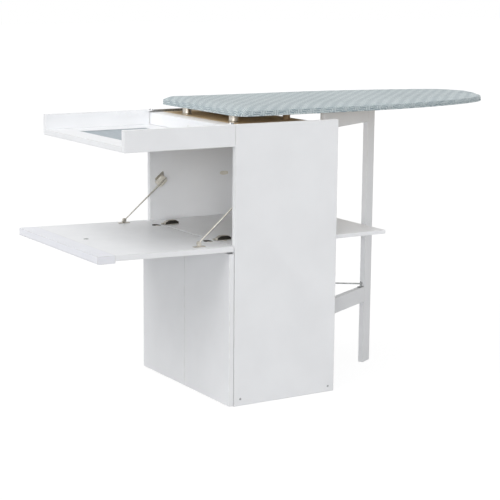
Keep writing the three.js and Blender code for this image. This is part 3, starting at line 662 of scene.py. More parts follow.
def arm_piece(name, along, outward):
    """An arm with its plate and screws; along and outward are its length and its rise off the board."""
    low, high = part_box(name)
    middle = middle_of(name)
    along, outward = Vector(along), Vector(outward)
    across = outward.cross(along)
    rise = abs((high - low).dot(outward))
    half_wide = abs((high - low).dot(across)) / 2
    arm = own_outline(name)
    pressed_in(arm, outward, 0.0034, BACK_SUNK)
    for facing in (across, -across):
        pressed_in(arm, facing, 0.0024, SIDE_SUNK)
    eased(arm, STEEL_EASE, 0.0, 2)
    plate = lofted([
        (0.0058, 0.0175, 0.0, 0.5),
        (0.0058, 0.0175, 0.0013, 0.5),
        (0.0052, 0.0169, PLATE_THICK, 0.5),
    ])
    screws = [cross_screw(ARM_SCREW, (x, 0.0, rise - BACK_SUNK), (0, 0, 1)) for x in ARM_SCREW_PLACES]
    screws += [
        cross_screw(PLATE_SCREW, (0.0, sign * PLATE_SCREW_ACROSS, PLATE_THICK), (0, 0, 1))
        for sign in (-1, 1)
    ]
    foot = Matrix.Translation(middle - outward * rise / 2) @ axes_along(along, across, outward)
    fixings = set_at(gathered(plate, *screws), foot)

    def is_shaded(face):
        """Whether a face lies in one of the sunk panels, at its depth; these faces get the darker steel as
        painted shade.
        """
        place = face.center - middle
        to_side = abs(place.dot(across))
        in_back = 0.0016 < rise / 2 - place.dot(outward) < 0.0030 and face.normal.dot(outward) > 0.9
        in_side = 0.0005 < half_wide - to_side < 0.0013 and abs(face.normal.dot(across)) > 0.9
        return (in_back and to_side < 0.0050 and face.area > 0.00001) or in_side

    made = piece(f"{name}_formed", gathered(arm, fixings), nickel, "cabinet", "hinge_steel", name)
    # The faces deep in the sunk panels get the darker steel, as painted shade.
    painted(made, dark_steel, is_shaded)


FLAP_HINGE_ACROSS = middle_of("flap_hinge_cup_right").x
for side, sign in SIDES:
    across = sign * FLAP_HINGE_ACROSS
    seat = Matrix.Translation((across, *FLAP_CUP_SEAT))
    cup_piece(f"flap_hinge_cup_{side}", "flap", on_flap @ seat, FLAP_CUP, False)
    arm_piece(f"flap_hinge_arm_{side}", (0, 1, 0), (0, 0, 1))

    # The arm's nose carries the knuckle; two links, painted nearly black as painted shade, reach to it out of
    # the cup.
    nose = boxed(NOSE_HALVES, (across, front + NOSE_AT[0], flap_axis.z + NOSE_AT[1]), NOSE_EASE)
    pin_ends = [
        (across + end * KNUCKLE_REACH, front + KNUCKLE_AT[0], flap_axis.z + KNUCKLE_AT[1])
        for end in (-1, 1)
    ]
    pin = rod_between(*pin_ends, KNUCKLE_RADIUS)
    piece(f"flap_hinge_nose_{side}", gathered(nose, pin), nickel, "cabinet", "hinge_steel")
    beside, before, above = LINK_AT
    links = gathered(*[boxed(LINK_HALVES, (end * beside, before, above), LINK_EASE) for end in (-1, 1)])
    set_at(links, on_flap @ Matrix.Translation((across, 0, 0)))
    piece(f"flap_hinge_links_{side}", links, shade_black, "flap", "dark_steel")


# ---------- Flap stays ----------
# A steel rod on each side holds the open flap. Its eye turns on a foot screwed to the flap, and it slides
# through a swivelling housing on the side panel. The housings are beige, the rest is nickel-plated.

BEIGE = (226, 222, 212)
BEIGE_SHADE = (214, 209, 196)
THIN_EASE = 0.0004  # radius on the edges of thin fittings

STAY_FOOT_SCREW = 0.0024
STAY_FOOT_SCREW_AT = (0.0145, 0.0122)  # each side of the pin along the foot's plate, and above the axis
STAY_LUG_IN = 0.006  # from the foot's outer side
STAY_LUG_HALVES = (0.0036, 0.0064, 0.0042)
STAY_LUG_HIGH = 0.0162
STAY_EYE_REACH = 0.008
STAY_ROD_STOUTER = 1.5
HOUSING_PANEL_SUNK = 0.0012
HOUSING_SCREW = 0.0030
HOUSING_PLATE = ((0.013, 0.034), (-0.021, 0.006), (0.019, -0.004))  # its corners, from the pivot
HOUSING_PLATE_THICK = 0.0026
HOUSING_PLATE_ROUND = 0.005
HOUSING_PLATE_SCREW = 0.0026
HOUSING_PLATE_SCREW_AT = (0.009, 0.021)

beige = plastic("beige plastic", BEIGE, BEIGE_SHADE)


def stay_foot(name, sign, pin):
    """The foot on the flap, with its two screws and the block that carries the pin."""
    lug = own_side(name, sign) - sign * STAY_LUG_IN
    along = (to_flap @ Vector((lug, pin.y, pin.z))).y
    apart, high = STAY_FOOT_SCREW_AT
    fixings = [
        cross_screw(STAY_FOOT_SCREW, (lug, along + end * apart, high), (0, 0, 1)) for end in (-1, 1)
    ]
    fixings.append(boxed(STAY_LUG_HALVES, (lug, along, STAY_LUG_HIGH), 0.0010))
    return gathered(eased(own_outline(name), STEEL_EASE, 0.0, 2), set_at(gathered(*fixings), on_flap))


def stay_rod(name, pin, along):
    """The rod, with its eye as the frame has it and its shank a little stouter."""
    start = Vector((middle_of(name).x, pin.y, pin.z))
    shape = own_outline(name)
    for vertex in shape.verts:
        reach = (vertex.co - start).dot(along)
        if reach > STAY_EYE_REACH:
            on_axis = start + along * reach
            vertex.co = on_axis + (vertex.co - on_axis) * STAY_ROD_STOUTER
    return eased(shape, THIN_EASE, 0.002, 2)


def stay_housing(deep, place, axes):
    """A rounded block on the pivot, with a sunk panel and the pivot's screw."""
    panel = deep - HOUSING_PANEL_SUNK
    block = lofted([
        (0.0150, 0.0105, 0.0030, 0.4),
        (0.0180, 0.0135, 0.0055, 0.4),
        (0.0180, 0.0135, deep - 0.0022, 0.4),
        (0.0163, 0.0118, deep - 0.0002, 0.4),
        (0.0120, 0.0078, deep - 0.0002, 0.5),
        (0.0114, 0.0072, panel, 0.5),
    ])
    screw = cross_screw(HOUSING_SCREW, (0.0, 0.0, panel), (0, 0, 1))
    return set_at(gathered(block, screw), Matrix.Translation(place) @ axes)


def stay_plate(place, sign):
    """The three-cornered plate behind a housing, which stays on the side panel, with its screw."""
    plate = bmesh.new()
    corners = [plate.verts.new((place.x, place.y + y, place.z + z)) for y, z in HOUSING_PLATE]
    plate.faces.new(corners)
    pushed_out(plate, plate.faces[:], (-sign * HOUSING_PLATE_THICK, 0, 0))
    bmesh.ops.recalc_face_normals(plate, faces=plate.faces)
    through = [e for e in plate.edges if abs(e.verts[0].co.x - e.verts[1].co.x) > HOUSING_PLATE_THICK / 2]
    rounded_off(plate, through, HOUSING_PLATE_ROUND, 5)
    eased(plate, 0.0005, 0.0, 2, 60)
    y, z = HOUSING_PLATE_SCREW_AT
    spot = (place.x - sign * HOUSING_PLATE_THICK, place.y + y, place.z + z)
    return gathered(plate, cross_screw(HOUSING_PLATE_SCREW, spot, (-sign, 0, 0)))


for side, sign in SIDES:
    foot, rod, housing = f"stay_foot_{side}", f"stay_rod_{side}", f"stay_housing_{side}"
    pin = Vector(joints[f"stay_pin_{side}"]["pos_m"])
    pivot = Vector(joints[f"stay_turn_{side}"]["pos_m"])
    piece(f"{foot}_formed", stay_foot(foot, sign, pin), nickel, "flap", "hinge_steel", foot)
    slope = math.atan2(pivot.z - pin.z, pivot.y - pin.y)
    along = Vector((0.0, math.cos(slope), math.sin(slope)))
    piece(f"{rod}_drawn", stay_rod(rod, pin, along), nickel, f"stay_arm_{side}", "hinge_steel", rod)

    # In the housing's own axes x lies along the rod, y across it and z points into the compartment.
    inward = Vector((-sign, 0, 0))
    low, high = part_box(housing)
    seat = Vector((own_side(housing, sign), pivot.y, pivot.z))
    block = stay_housing(high.x - low.x, seat, axes_along(along, inward.cross(along), inward))
    piece(f"{housing}_moulded", block, beige, f"stay_swivel_{side}", "hinge_steel", housing)
    piece(f"stay_plate_{side}", stay_plate(seat, sign), nickel, "cabinet", "hinge_steel")


# ---------- Back panel holders ----------
# A small pale plastic plate is screwed to each side panel near the back of the compartment. It is taken
# to be a holder of the back panel, and stands a little in front of it.

HOLDER_AT = (0.286, 0.652)  # behind the cabinet's front, and above the floor
HOLDER_THICK = 0.0028
HOLDER_SCREW = 0.0034

for side, sign in SIDES:
    plate = lofted([
        (0.0165, 0.0065, 0.0, 0.8),
        (0.0165, 0.0065, 0.0018, 0.8),
        (0.0153, 0.0053, HOLDER_THICK, 0.8),
    ])
    holder = gathered(plate, cross_screw(HOLDER_SCREW, (0.0, 0.0, HOLDER_THICK), (0, 0, 1)))
    seat = Matrix.Translation((own_side(f"stay_housing_{side}", sign), front + HOLDER_AT[0], HOLDER_AT[1]))
    set_at(holder, seat @ axes_along((0, 1, 0), (0, 0, -sign), (-sign, 0, 0)))
    piece(f"back_holder_{side}", holder, beige, "cabinet", "white_plastic")


# ---------- Flap strike and magnet ----------
# A small steel disc on the flap meets the magnet in the front rail when the flap is shut. The magnet sits
# behind a white plastic cap.

CAP_WHITE = (228, 229, 228)
CAP_SHADE = (220, 221, 220)
STRIKE_SCREW = 0.0026
STRIKE_SCREW_SUNK = 0.0002

white_plastic = plastic("white plastic", CAP_WHITE, CAP_SHADE)
middle = middle_of("flap_strike")
strike_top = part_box("flap_strike")[1].z
strike = gathered(
    eased(own_outline("flap_strike"), 0.0003),
    cross_screw(STRIKE_SCREW, (middle.x, middle.y, strike_top - STRIKE_SCREW_SUNK), (0, 0, 1)),
)
piece("flap_strike_disc", strike, zinc, "flap", "dark_steel", "flap_strike")
piece("flap_magnet_face", eased(own_outline("flap_magnet"), THIN_EASE), white_plastic,
      "cabinet", "dark_steel", "flap_magnet")


# ---------- Lid ----------
# Two walls and a panel between them fold out over the flap. The panel's opening shows the painted
# backing of the mirror, whose silvered face is on the lid's outside, bedded behind a thin bead.

BACKING = (158, 168, 175)
BACKING_SHADE = (144, 155, 163)
BACKING_RELIEF = 0.00006
SILVER = (226, 231, 232)
GLASS_EDGE = (126, 160, 148)
GLASS_EASE = 0.0012
BEAD_WIDE = 0.006
BEAD_SUNK = 0.0008  # below the lid's outer face
BEAD_EASE = 0.0014
BEAD_GAP = 0.0002  # to the glass

for node in ("lid_wall_left", "lid_wall_right", "lid_panel"):
    board(node, "lid")

paint, tree, surface, own = finish("mirror backing paint")
skin = placed(tree, moulded, Position=own, Colour=looks(*BACKING), Shade_Colour=looks(*BACKING_SHADE))
rolled = put(tree, "ShaderNodeMapping", {"Vector": own, "Scale": (1.0, 6.0, 1.0)}).outputs[0]
streaks = speckle(tree, rolled, 45.0, 4.0)
tree.links.new(
    blended(tree, ranged(tree, streaks, 0.4, 0.65, 0.0, 0.35), skin["Colour"], looks(*BACKING_SHADE)),
    surface["Base Color"],
)
tree.links.new(skin["Roughness"], surface["Roughness"])
raised(tree, surface, streaks, BACKING_RELIEF)
piece("mirror_backing_sheet", eased(own_outline("mirror_backing"), 0.0005), paint,
      "lid", "mirror_paint", "mirror_backing")

silvered, tree, surface, own = finish("silvered glass")
low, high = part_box("mirror_glass")
middle = middle_of("mirror_glass")
place = put(tree, "ShaderNodeMapping", {"Vector": own, "Location": middle}, vector_type="TEXTURE").outputs[0]
rim_only = placed(tree, edge_wear, Position=place, Half_Size=tuple((high - low) / 2), Reach=0.004)["Mask"]
tree.links.new(blended(tree, rim_only, looks(*SILVER), looks(*GLASS_EDGE)), surface["Base Color"])
surface["Metallic"].default_value = 1.0
smears = speckle(tree, own, 18.0, 4.0, 0.6)
tree.links.new(ranged(tree, smears, 0.35, 0.75, 0.015, 0.05), surface["Roughness"])
piece("mirror_glass_pane", eased(own_outline("mirror_glass"), GLASS_EASE), silvered,
      "lid", "mirror_face", "mirror_glass")

# The bead is a thin frame bedded into the rebate, against the glass, with eased edges.
bead = bmesh.new()
bmesh.ops.create_grid(bead, x_segments=1, y_segments=1, size=0.5)
bmesh.ops.scale(bead, vec=((high.x - low.x), (high.y - low.y), 1), verts=bead.verts)
bordering = bmesh.ops.inset_region(
    bead, faces=bead.faces[:], thickness=BEAD_WIDE, use_boundary=True, use_even_offset=True
)["faces"]
bmesh.ops.delete(bead, geom=[f for f in bead.faces if f not in bordering], context="FACES_ONLY")
bead_high = low.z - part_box("lid_panel")[0].z - BEAD_SUNK
pushed_out(bead, bead.faces[:], (0, 0, bead_high))
bmesh.ops.recalc_face_normals(bead, faces=bead.faces)
bmesh.ops.translate(bead, vec=(middle.x, middle.y, low.z - bead_high - BEAD_GAP), verts=bead.verts)
eased(bead, BEAD_EASE, 0.0, 4)
piece("mirror_bead", bead, white_plastic, "lid", "white_plastic")


# ---------- Lid hinges ----------
# Steel straps along the upper edges: one on each side panel carries the pin, one on each lid wall turns
# on it. Low-headed screws hold them. The straps on the lid are lacquered white like its walls.

lacquer = plastic("white lacquer", WHITE, WHITE_SHADE)
STRAP_THICK = 0.0023
STRAPS = (  # body, finish, the screws' radius and height, and each one's y from the cabinet's front
    ("lid_hinge_fixed", "cabinet", zinc, 0.0026, 0.8765, (0.022, 0.050, 0.082, 0.114)),
    ("lid_hinge_strap", "lid", lacquer, 0.0030, 0.8710, (-0.112, -0.079, -0.046, -0.022)),
)

for side, sign in SIDES:
    for strap, body, coat, radius, level, places in STRAPS:
        name = f"{strap}_{side}"
        face = own_side(name, sign) - sign * STRAP_THICK
        heads = [cross_screw(radius, (face, front + y, level), (-sign, 0, 0)) for y in places]
        shape = gathered(eased(own_outline(name), THIN_EASE, 0.0004, 2), *heads)
        piece(f"{name}_formed", shape, coat, body, "hinge_steel", name)


# ---------- Doors ----------
# Two doors without knobs close the lower cupboard. Each turns on two concealed hinges, and a double
# push latch under the compartment's floor holds them and pushes them open.

DOOR_CUP = (0.0175, 0.012, 0.050, 0.00075)
DOOR_CUP_UNDER = 0.00025  # its flange's underside, off the door's inner face

for side, sign in SIDES:
    board(f"door_{side}", f"{side}_door")
    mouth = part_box(f"door_{side}")[1].y + DOOR_CUP_UNDER
    upright = Matrix.Rotation(-math.pi / 2, 4, "X") @ Matrix.Rotation(math.pi / 2, 4, "Z")
    for level in ("lower", "upper"):
        cup_name = f"door_{side}_cup_{level}"
        middle = middle_of(cup_name)
        seat = Matrix.Translation((middle.x, mouth, middle.z)) @ upright
        cup_piece(cup_name, f"{side}_door", seat, DOOR_CUP, True)
        arm_piece(f"door_{side}_arm_{level}", (0, 1, 0), (-sign, 0, 0))

piece("door_push_latch_case", eased(own_outline("door_push_latch"), 0.0009, 0.002), white_plastic,
      "cabinet", "white_plastic", "door_push_latch")


# ---------- Gate leg ----------
# A foiled leg with two rails swings on brackets at the back and carries the far end of the board.
# The brackets are screwed to the rear rails.

GATE_TURN = math.radians(28)
BRACKET_PLATE = 0.0025
BRACKET_SCREW = 0.0028
BRACKET_SCREW_AT = (0.0145, 0.010)  # each side of the middle, and above the plate's lower edge
BORE_SHORT_EDGE = 0.0005  # bores have shorter edges than this, and stay sharp

for node in ("gate_leg", "gate_top_rail", "gate_lower_rail"):
    board(node, "gate", (0.0, 0.0, GATE_TURN))

for level in ("upper", "lower"):
    name = f"gate_bracket_{level}"
    plate_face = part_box(name)[0].y + BRACKET_PLATE
    plate_low = min(v.co.z for v in nodes[name].data.vertices if v.co.y < plate_face + 0.0002)
    apart, above = BRACKET_SCREW_AT
    across = middle_of(name).x
    heads = [
        cross_screw(BRACKET_SCREW, (across + sign * apart, plate_face, plate_low + above), (0, 1, 0))
        for sign in (-1, 1)
    ]
    shape = gathered(eased(own_outline(name), THIN_EASE, BORE_SHORT_EDGE, 2), *heads)
    piece(f"{name}_formed", shape, nickel, "cabinet", "hinge_steel", name)


# ---------- Hook rod ----------
# A thin steel rod hooks over a pin on the gate's lower rail and keeps the gate open. It turns in an
# anchor at the back of the cabinet. The rod and its catch are zinc-plated, the anchor is nickel-plated.

for node, metal, body in (("rod_anchor", nickel, "cabinet"), ("rod_catch", zinc, "gate")):
    shape = eased(own_outline(node), THIN_EASE, BORE_SHORT_EDGE, 2)
    piece(f"{node}_formed", shape, metal, body, "hinge_steel", node)
piece("hook_rod_drawn", own_outline("hook_rod"), zinc, "rod", "hinge_steel", "hook_rod")


# ---------- Rear shelf ----------
# A thin foiled board that folds out behind the cabinet on two pins. Its heel bears up against the stop
# rail and holds it level.

board("rear_shelf", "shelf")


# ---------- Ironing board's core ----------
# Two pieces of chipboard make the board, joined by a steel strip let into the underside. Steel posts hold
# it off the front rail, and beech dowels off the top panel behind them.

CORE_CHIPS = 210.0
STRIP_SCREW = 0.0028
STRIP_SCREW_SUNK = 0.0003
STRIP_SCREW_GAP = 0.045
STRIP_SCREW_ROW = 0.010  # each side of the strip's middle
BEECH_LIGHT = (176, 150, 116)
BEECH_DARK = (134, 108, 78)
BEECH_RELIEF = 0.00008

# The lower half of a post's outline: each point's share of the radius, and its height.
COLLARED_POST = ((0, 0), (1.5, 0), (1.5, 0.0022), (1.3, 0.0030), (1.2, 0.0050))
PLAIN_DOWEL = ((0, 0), (0.9, 0), (1.0, 0.0012))

core_wood = pressed_wood("core chipboard", CORE_CHIPS)
for node in ("board_core_front", "board_core_leaf"):
    piece(f"{node}_board", own_outline(node), core_wood, "cabinet", "raw_board", node)

middle = middle_of("leaf_hinge_strip")
strip_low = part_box("leaf_hinge_strip")[0].z + STRIP_SCREW_SUNK
heads = [
    cross_screw(STRIP_SCREW, (x * STRIP_SCREW_GAP, middle.y + sign * STRIP_SCREW_ROW, strip_low), (0, 0, -1))
    for x in range(-4, 5) for sign in (-1, 1)
]
piece("leaf_hinge_strip_formed", gathered(eased(own_outline("leaf_hinge_strip"), 0.0003), *heads), nickel,
      "cabinet", "hinge_steel", "leaf_hinge_strip")


def turned(profile, steps=32):
    """A round piece about Z from its half outline, (radius, height) from the axis back to the axis."""
    shape = bmesh.new()
    points = [shape.verts.new((radius, 0, height)) for radius, height in profile]
    edges = [shape.edges.new(pair) for pair in zip(points, points[1:])]
    bmesh.ops.spin(shape, geom=points + edges, cent=(0, 0, 0), axis=(0, 0, 1),
                   angle=2 * math.pi, steps=steps, use_merge=True)
    bmesh.ops.remove_doubles(shape, verts=shape.verts, dist=0.000001)
    bmesh.ops.recalc_face_normals(shape, faces=shape.faces)
    return shape


beech, tree, surface, own = finish("beech")
along = put(tree, "ShaderNodeMapping", {"Vector": own, "Scale": (1.0, 1.0, 0.12)}).outputs[0]
figure_lines = speckle(tree, along, 420.0, 4.0, 0.6)
tree.links.new(
    blended(tree, ranged(tree, figure_lines, 0.35, 0.65), looks(*BEECH_LIGHT), looks(*BEECH_DARK)),
    surface["Base Color"],
)
tree.links.new(ranged(tree, figure_lines, 0.3, 0.7, 0.5, 0.7), surface["Roughness"])
raised(tree, surface, figure_lines, BEECH_RELIEF)

for side in ("left", "right"):
    for row, material, slot, outline in (
        ("front", nickel, "hinge_steel", COLLARED_POST), ("rear", beech, "raw_board", PLAIN_DOWEL),
    ):
        name = f"board_spacer_{row}_{side}"
        low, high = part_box(name)
        wide = (high.x - low.x) / 2
        lower = [(share * wide, height) for share, height in outline]
        upper = [(reach, high.z - low.z - height) for reach, height in reversed(lower)]
        shape = turned(lower + upper)
        middle = middle_of(name)
        bmesh.ops.translate(shape, vec=(middle.x, middle.y, low.z), verts=shape.verts)
        piece(f"{name}_post", shape, material, "cabinet", slot, name)


# ---------- Ironing board's cover ----------
# Felt padding under printed cotton, drawn tight over the board. The hem goes round a cord that gathers the
# skirt into small puckers. The cotton has a common herringbone stripe in two grey-blues.

cover_low, cover_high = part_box("board_cover")
HALF_WIDE = cover_high.x
BOARD_FRONT = cover_low.y
BOARD_NOSE = cover_high.y
STRAIGHT_END = front + 0.450
CORNER = 0.045
OUTLINE_GAP = 0.004  # between the points of the outline
VOXEL = 0.008
PAD_TOP = cover_high.z - 0.0045  # before it swells
SKIRT_HELD = (0.006, 0.012)  # where the cotton starts to come off the board, and over what height
CLOTH_FRAMES = 16
MOST_SWELL = 0.0030
UNDERSIDE = cover_low.z + 0.0024  # faces that lie lower are opened for the core
SKIRT_TOP = cover_low.z + 0.012
CROWN = 0.0035  # how much thicker the felt is in the middle; the shut lid clears it by 1.7 mm
CROWN_REACH = 0.070
RIM_DROP = 0.0040
RIM_REACH = 0.032
NOSE_DROP = 0.0060
NOSE_REACH = 0.120
CORE_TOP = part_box("board_core_front")[1].z
LEAST_FELT = 0.0015  # over the core
PUCKER_GAP = 0.021
PUCKER_DEEP = 0.0011
PUCKER_REACH = 0.02  # in from the edge
PUCKER_TUCK = 0.0010
FABRIC_THICK = 0.0035
RIM_UP = 0.0004  # the cotton's lowest edge, over the underside of the CAD's cover
CORE_CLEAR = 0.0003
SKIRT_WITHIN = 0.006  # places nearer the edge than this may lie on the skirt
SKIRT_BELOW = 0.002


def board_outline():
    """Points round the board, from the middle of the front end by the right to the nose and back."""
    w, r = HALF_WIDE, CORNER
    start, reach = STRAIGHT_END, BOARD_NOSE - STRAIGHT_END
    half = [(0.0, BOARD_FRONT)]
    for step in range(9):
        angle = -math.pi / 2 + step * math.pi / 16
        half.append((w - r + r * math.cos(angle), BOARD_FRONT + r + r * math.sin(angle)))
    bend = (0.57 * w, start + 0.87 * reach)
    for knot, first, second, end in (
        ((w, start), (w, start + 0.362 * reach), (0.817 * w, start + 0.695 * reach), bend),
        (bend, (0.448 * w, start + 0.954 * reach), (0.266 * w, BOARD_NOSE), (0.0, BOARD_NOSE)),
    ):
        half += [tuple(p) for p in interpolate_bezier(knot, first, second, end, 40)]
    return [Vector((x, y)) for x, y in half] + [Vector((-x, y)) for x, y in reversed(half[1:-1])]


def evenly(points, gap):
    """The same closed line with its points evenly apart: place, outward direction, length so far."""
    around = points + points[:1]
    lengths = [0.0]
    for a, b in zip(around, around[1:]):
        lengths.append(lengths[-1] + (b - a).length)
    count = round(lengths[-1] / gap)
    made = []
    leg = 0
    for i in range(count):
        target = lengths[-1] * i / count
        while lengths[leg + 1] < target:
            leg += 1
        a, b = around[leg], around[leg + 1]
        run = (b - a).normalized()
        made.append((a + run * (target - lengths[leg]), Vector((run.y, -run.x)), target))
    return made


def clamped(value):
    return min(1.0, max(0.0, value))


edge_line = evenly(board_outline(), OUTLINE_GAP)
edge_tree = KDTree(len(edge_line))
for i, (spot, _, _) in enumerate(edge_line):
    edge_tree.insert((spot.x, spot.y, 0.0), i)
edge_tree.balance()


def at_edge(place):
    """The outline's nearest point to a place, its outward direction and length, and how far in it lies."""
    _, index, _ = edge_tree.find((place.x, place.y, 0.0))
    spot, outward, along = edge_line[index]
    return spot, outward, along, (spot - Vector(place[:2])).dot(outward)


slab = bmesh.new()
slab.faces.new([slab.verts.new((spot.x, spot.y, cover_low.z)) for spot, _, _ in edge_line[::2]])
pushed_out(slab, slab.faces[:], (0, 0, PAD_TOP - cover_low.z))
bmesh.ops.recalc_face_normals(slab, faces=slab.faces)
pad = in_scene("pad", mesh_of("pad", slab))
remesh = pad.modifiers.new("even mesh", "REMESH")
remesh.mode = "VOXEL"
remesh.voxel_size = VOXEL


def settle(made):
    """Replaces an object's mesh by what its modifiers make of it."""
    bpy.context.view_layer.update()
    shown = made.evaluated_get(bpy.context.evaluated_depsgraph_get())
    settled = bpy.data.meshes.new_from_object(shown)
    made.modifiers.clear()
    made.data = settled


settle(pad)
flat_places = [v.co.copy() for v in pad.data.vertices]
# The padding swells under the cotton; the underside and the lower skirt stay on the board.
held = pad.vertex_groups.new(name="held")
for vertex in pad.data.vertices:
    grip = 1.0 - clamped((vertex.co.z - cover_low.z - SKIRT_HELD[0]) / SKIRT_HELD[1])
    held.add([vertex.index], max(grip, 0.02), "REPLACE")
cloth = pad.modifiers.new("cotton", "CLOTH")
cloth.settings.quality = 4
cloth.settings.use_pressure = True
cloth.settings.uniform_pressure_force = 4.0
cloth.settings.effector_weights.gravity = 0.0
cloth.settings.vertex_group_mass = "held"
cloth.settings.tension_stiffness = 18.0
cloth.settings.bending_stiffness = 1.2
cloth.point_cache.frame_start = 1
cloth.point_cache.frame_end = CLOTH_FRAMES
for step in range(1, CLOTH_FRAMES + 1):
    bpy.context.scene.frame_set(step)
settle(pad)
bpy.context.scene.frame_set(1)
for vertex, before in zip(pad.data.vertices, flat_places):
    moved = vertex.co - before
    if moved.length > MOST_SWELL:
        vertex.co = before + moved.normalized() * MOST_SWELL
smooth = pad.modifiers.new("soft shoulder", "SMOOTH")
smooth.iterations = 3
finer = pad.modifiers.new("finer", "SUBSURF")
finer.levels = finer.render_levels = 1
settle(pad)

# The hem's gathers are a few waves of unlike lengths, which meet anew all the way round.
random.seed(7)
waves = [(random.uniform(0.7, 1.5), random.uniform(0, 6.28)) for _ in range(5)]


def pucker(along, strength):
    """Uneven gathers along the hem."""
    turn = 2 * math.pi * along / PUCKER_GAP
    depth = sum(math.sin(turn * rate + phase) for rate, phase in waves) / len(waves)
    return strength * PUCKER_DEEP * 2.0 * depth


def felt_top(place, inset):
    """How high the cotton lies over the felt, which is full in the middle and thins to a round rim."""
    crowned = place.z + CROWN * math.sin(clamped(inset / CROWN_REACH) * math.pi / 2)
    near_nose = max(0.0, 1.0 - (BOARD_NOSE - place.y) / NOSE_REACH)
    near_rim = max(0.0, 1.0 - max(0.0, inset) / RIM_REACH) ** 2
    upper = min(1.0, (crowned - SKIRT_TOP) / (PAD_TOP - SKIRT_TOP))
    thinned = crowned - (RIM_DROP + NOSE_DROP * near_nose) * near_rim * upper
    if inset <= 0.001:
        return thinned
    return max(thinned, min(crowned, CORE_TOP + LEAST_FELT))


cover = bmesh.new()
cover.from_mesh(pad.data)
bpy.data.objects.remove(pad)
bottoms = [f for f in cover.faces if all(v.co.z < UNDERSIDE for v in f.verts)]
bmesh.ops.delete(cover, geom=bottoms, context="FACES")
for vertex in cover.verts:
    _, outward, along, inset = at_edge(vertex.co)
    if vertex.co.z > SKIRT_TOP:
        vertex.co.z = felt_top(vertex.co, inset)
    if inset < PUCKER_REACH:
        drop = (cover_high.z - vertex.co.z) / (cover_high.z - cover_low.z)
        hold = max(0.0, 1.0 - inset / PUCKER_REACH) * (0.15 + 0.85 * clamped(drop))
        vertex.co += outward.to_3d() * (pucker(along, hold) - PUCKER_TUCK * hold)

# The rim turns in to the core and up its side, and closes over the core's top.
rim_edges = [e for e in cover.edges if e.is_boundary]
rim_corners = {v for e in rim_edges for v in e.verts}
for vertex in rim_corners:
    vertex.co.z = cover_low.z + RIM_UP
turned_in, second_rim = ring_on(cover, rim_edges)
for vertex in turned_in:
    spot, outward, _, _ = at_edge(vertex.co)
    vertex.co.x = spot.x - outward.x * FABRIC_THICK
    vertex.co.y = spot.y - outward.y * FABRIC_THICK
raised_up, third_rim = ring_on(cover, second_rim)
for vertex in raised_up:
    vertex.co.z = CORE_TOP + CORE_CLEAR
bmesh.ops.holes_fill(cover, edges=third_rim, sides=0)
bmesh.ops.recalc_face_normals(cover, faces=cover.faces)

# The cotton's own flat plan: the outline's plan on top, and the skirt laid flat beyond it.
plan = cover.loops.layers.uv.new("plan")
for face in cover.faces:
    for loop in face.loops:
        place = loop.vert.co
        _, outward, _, inset = at_edge(place)
        down = max(0.0, cover_high.z - SKIRT_BELOW - place.z) if inset < SKIRT_WITHIN else 0.0
        loop[plan].uv = (place.x + outward.x * down, place.y + outward.y * down)

PALE_BAND = (179, 191, 192)
DEEP_BAND = (142, 157, 163)
THREAD_LIGHT = (212, 219, 219)
THREAD_DARK = (110, 128, 138)
BAND_WIDE = 0.0155
LINE_GAP = 0.0080
BAND_TURN = math.radians(-45)
WAVER = 0.006  # how far the printed lines wander
COTTON_RELIEF = 0.00022
HEM_RADIUS = 0.0019
HEM_SWELL = 0.08  # share of its radius by which the rolled hem swells between two gathers
HEM_LIFT = 0.0002
HEM_IN = 0.0009  # inside the outline
HEM_GATHER = 0.9

# Herringbone: bands of fine lines that lean one way and then the other.
herringbone, given, gives = effect(
    "herringbone", {"Position": (0.0, 0.0, 0.0), "Band": 0.02, "Line": 0.005}, ["Band", "Line"]
)
axes = put(herringbone, "ShaderNodeSeparateXYZ", {0: given["Position"]}).outputs
banded = figure(herringbone, "DIVIDE", axes[0], given["Band"])
to_and_fro = figure(herringbone, "PINGPONG", banded, 1.0)
leaning = figure(herringbone, "ADD", axes[1], figure(herringbone, "MULTIPLY", to_and_fro, given["Band"]))
turns = figure(herringbone, "MULTIPLY", figure(herringbone, "DIVIDE", leaning, given["Line"]), 2 * math.pi)
lines = figure(herringbone, "SINE", turns)
herringbone.links.new(ranged(herringbone, lines, -0.5, 0.5), gives["Line"])
swing = figure(herringbone, "SINE", figure(herringbone, "MULTIPLY", banded, math.pi))
herringbone.links.new(ranged(herringbone, swing, -0.7, 0.7), gives["Band"])

# Plain weave: threads that pass over and under each other.
weave, given, gives = effect("plain weave", {"Position": (0.0, 0.0, 0.0), "Thread": 0.0008}, ["Height"])
axes = put(weave, "ShaderNodeSeparateXYZ", {0: given["Position"]}).outputs
crossing = []
for axis in range(2):
    turns = figure(weave, "DIVIDE", axes[axis], given["Thread"])
    crossing.append(figure(weave, "SINE", figure(weave, "MULTIPLY", turns, math.pi)))
over_under = figure(weave, "MULTIPLY", crossing[0], crossing[1])
weave.links.new(ranged(weave, over_under, -1.0, 1.0), gives["Height"])

cotton, tree, surface, own = finish("striped cotton")
laid = put(tree, "ShaderNodeUVMap", uv_map="plan").outputs[0]
turned_plan = put(tree, "ShaderNodeMapping", {"Vector": laid, "Rotation": (0, 0, BAND_TURN)}).outputs[0]
ripple = put(tree, "ShaderNodeTexNoise", {"Vector": laid, "Scale": 90.0, "Detail": 2.0}).outputs["Color"]
wavering = vectors(tree, "MULTIPLY", ripple, (WAVER, WAVER, 0.0))
uneven = vectors(tree, "ADD", turned_plan, wavering)
stripe = placed(tree, herringbone, Position=uneven, Band=BAND_WIDE, Line=LINE_GAP)
threads = placed(tree, weave, Position=laid)["Height"]
ground = blended(tree, stripe["Band"], looks(*DEEP_BAND), looks(*PALE_BAND))
inked = blended(tree, ranged(tree, stripe["Line"], 0.5, 0.0, 0.0, 0.6), ground, looks(*THREAD_DARK))
printed = blended(tree, ranged(tree, stripe["Line"], 0.5, 1.0, 0.0, 0.6), inked, looks(*THREAD_LIGHT))
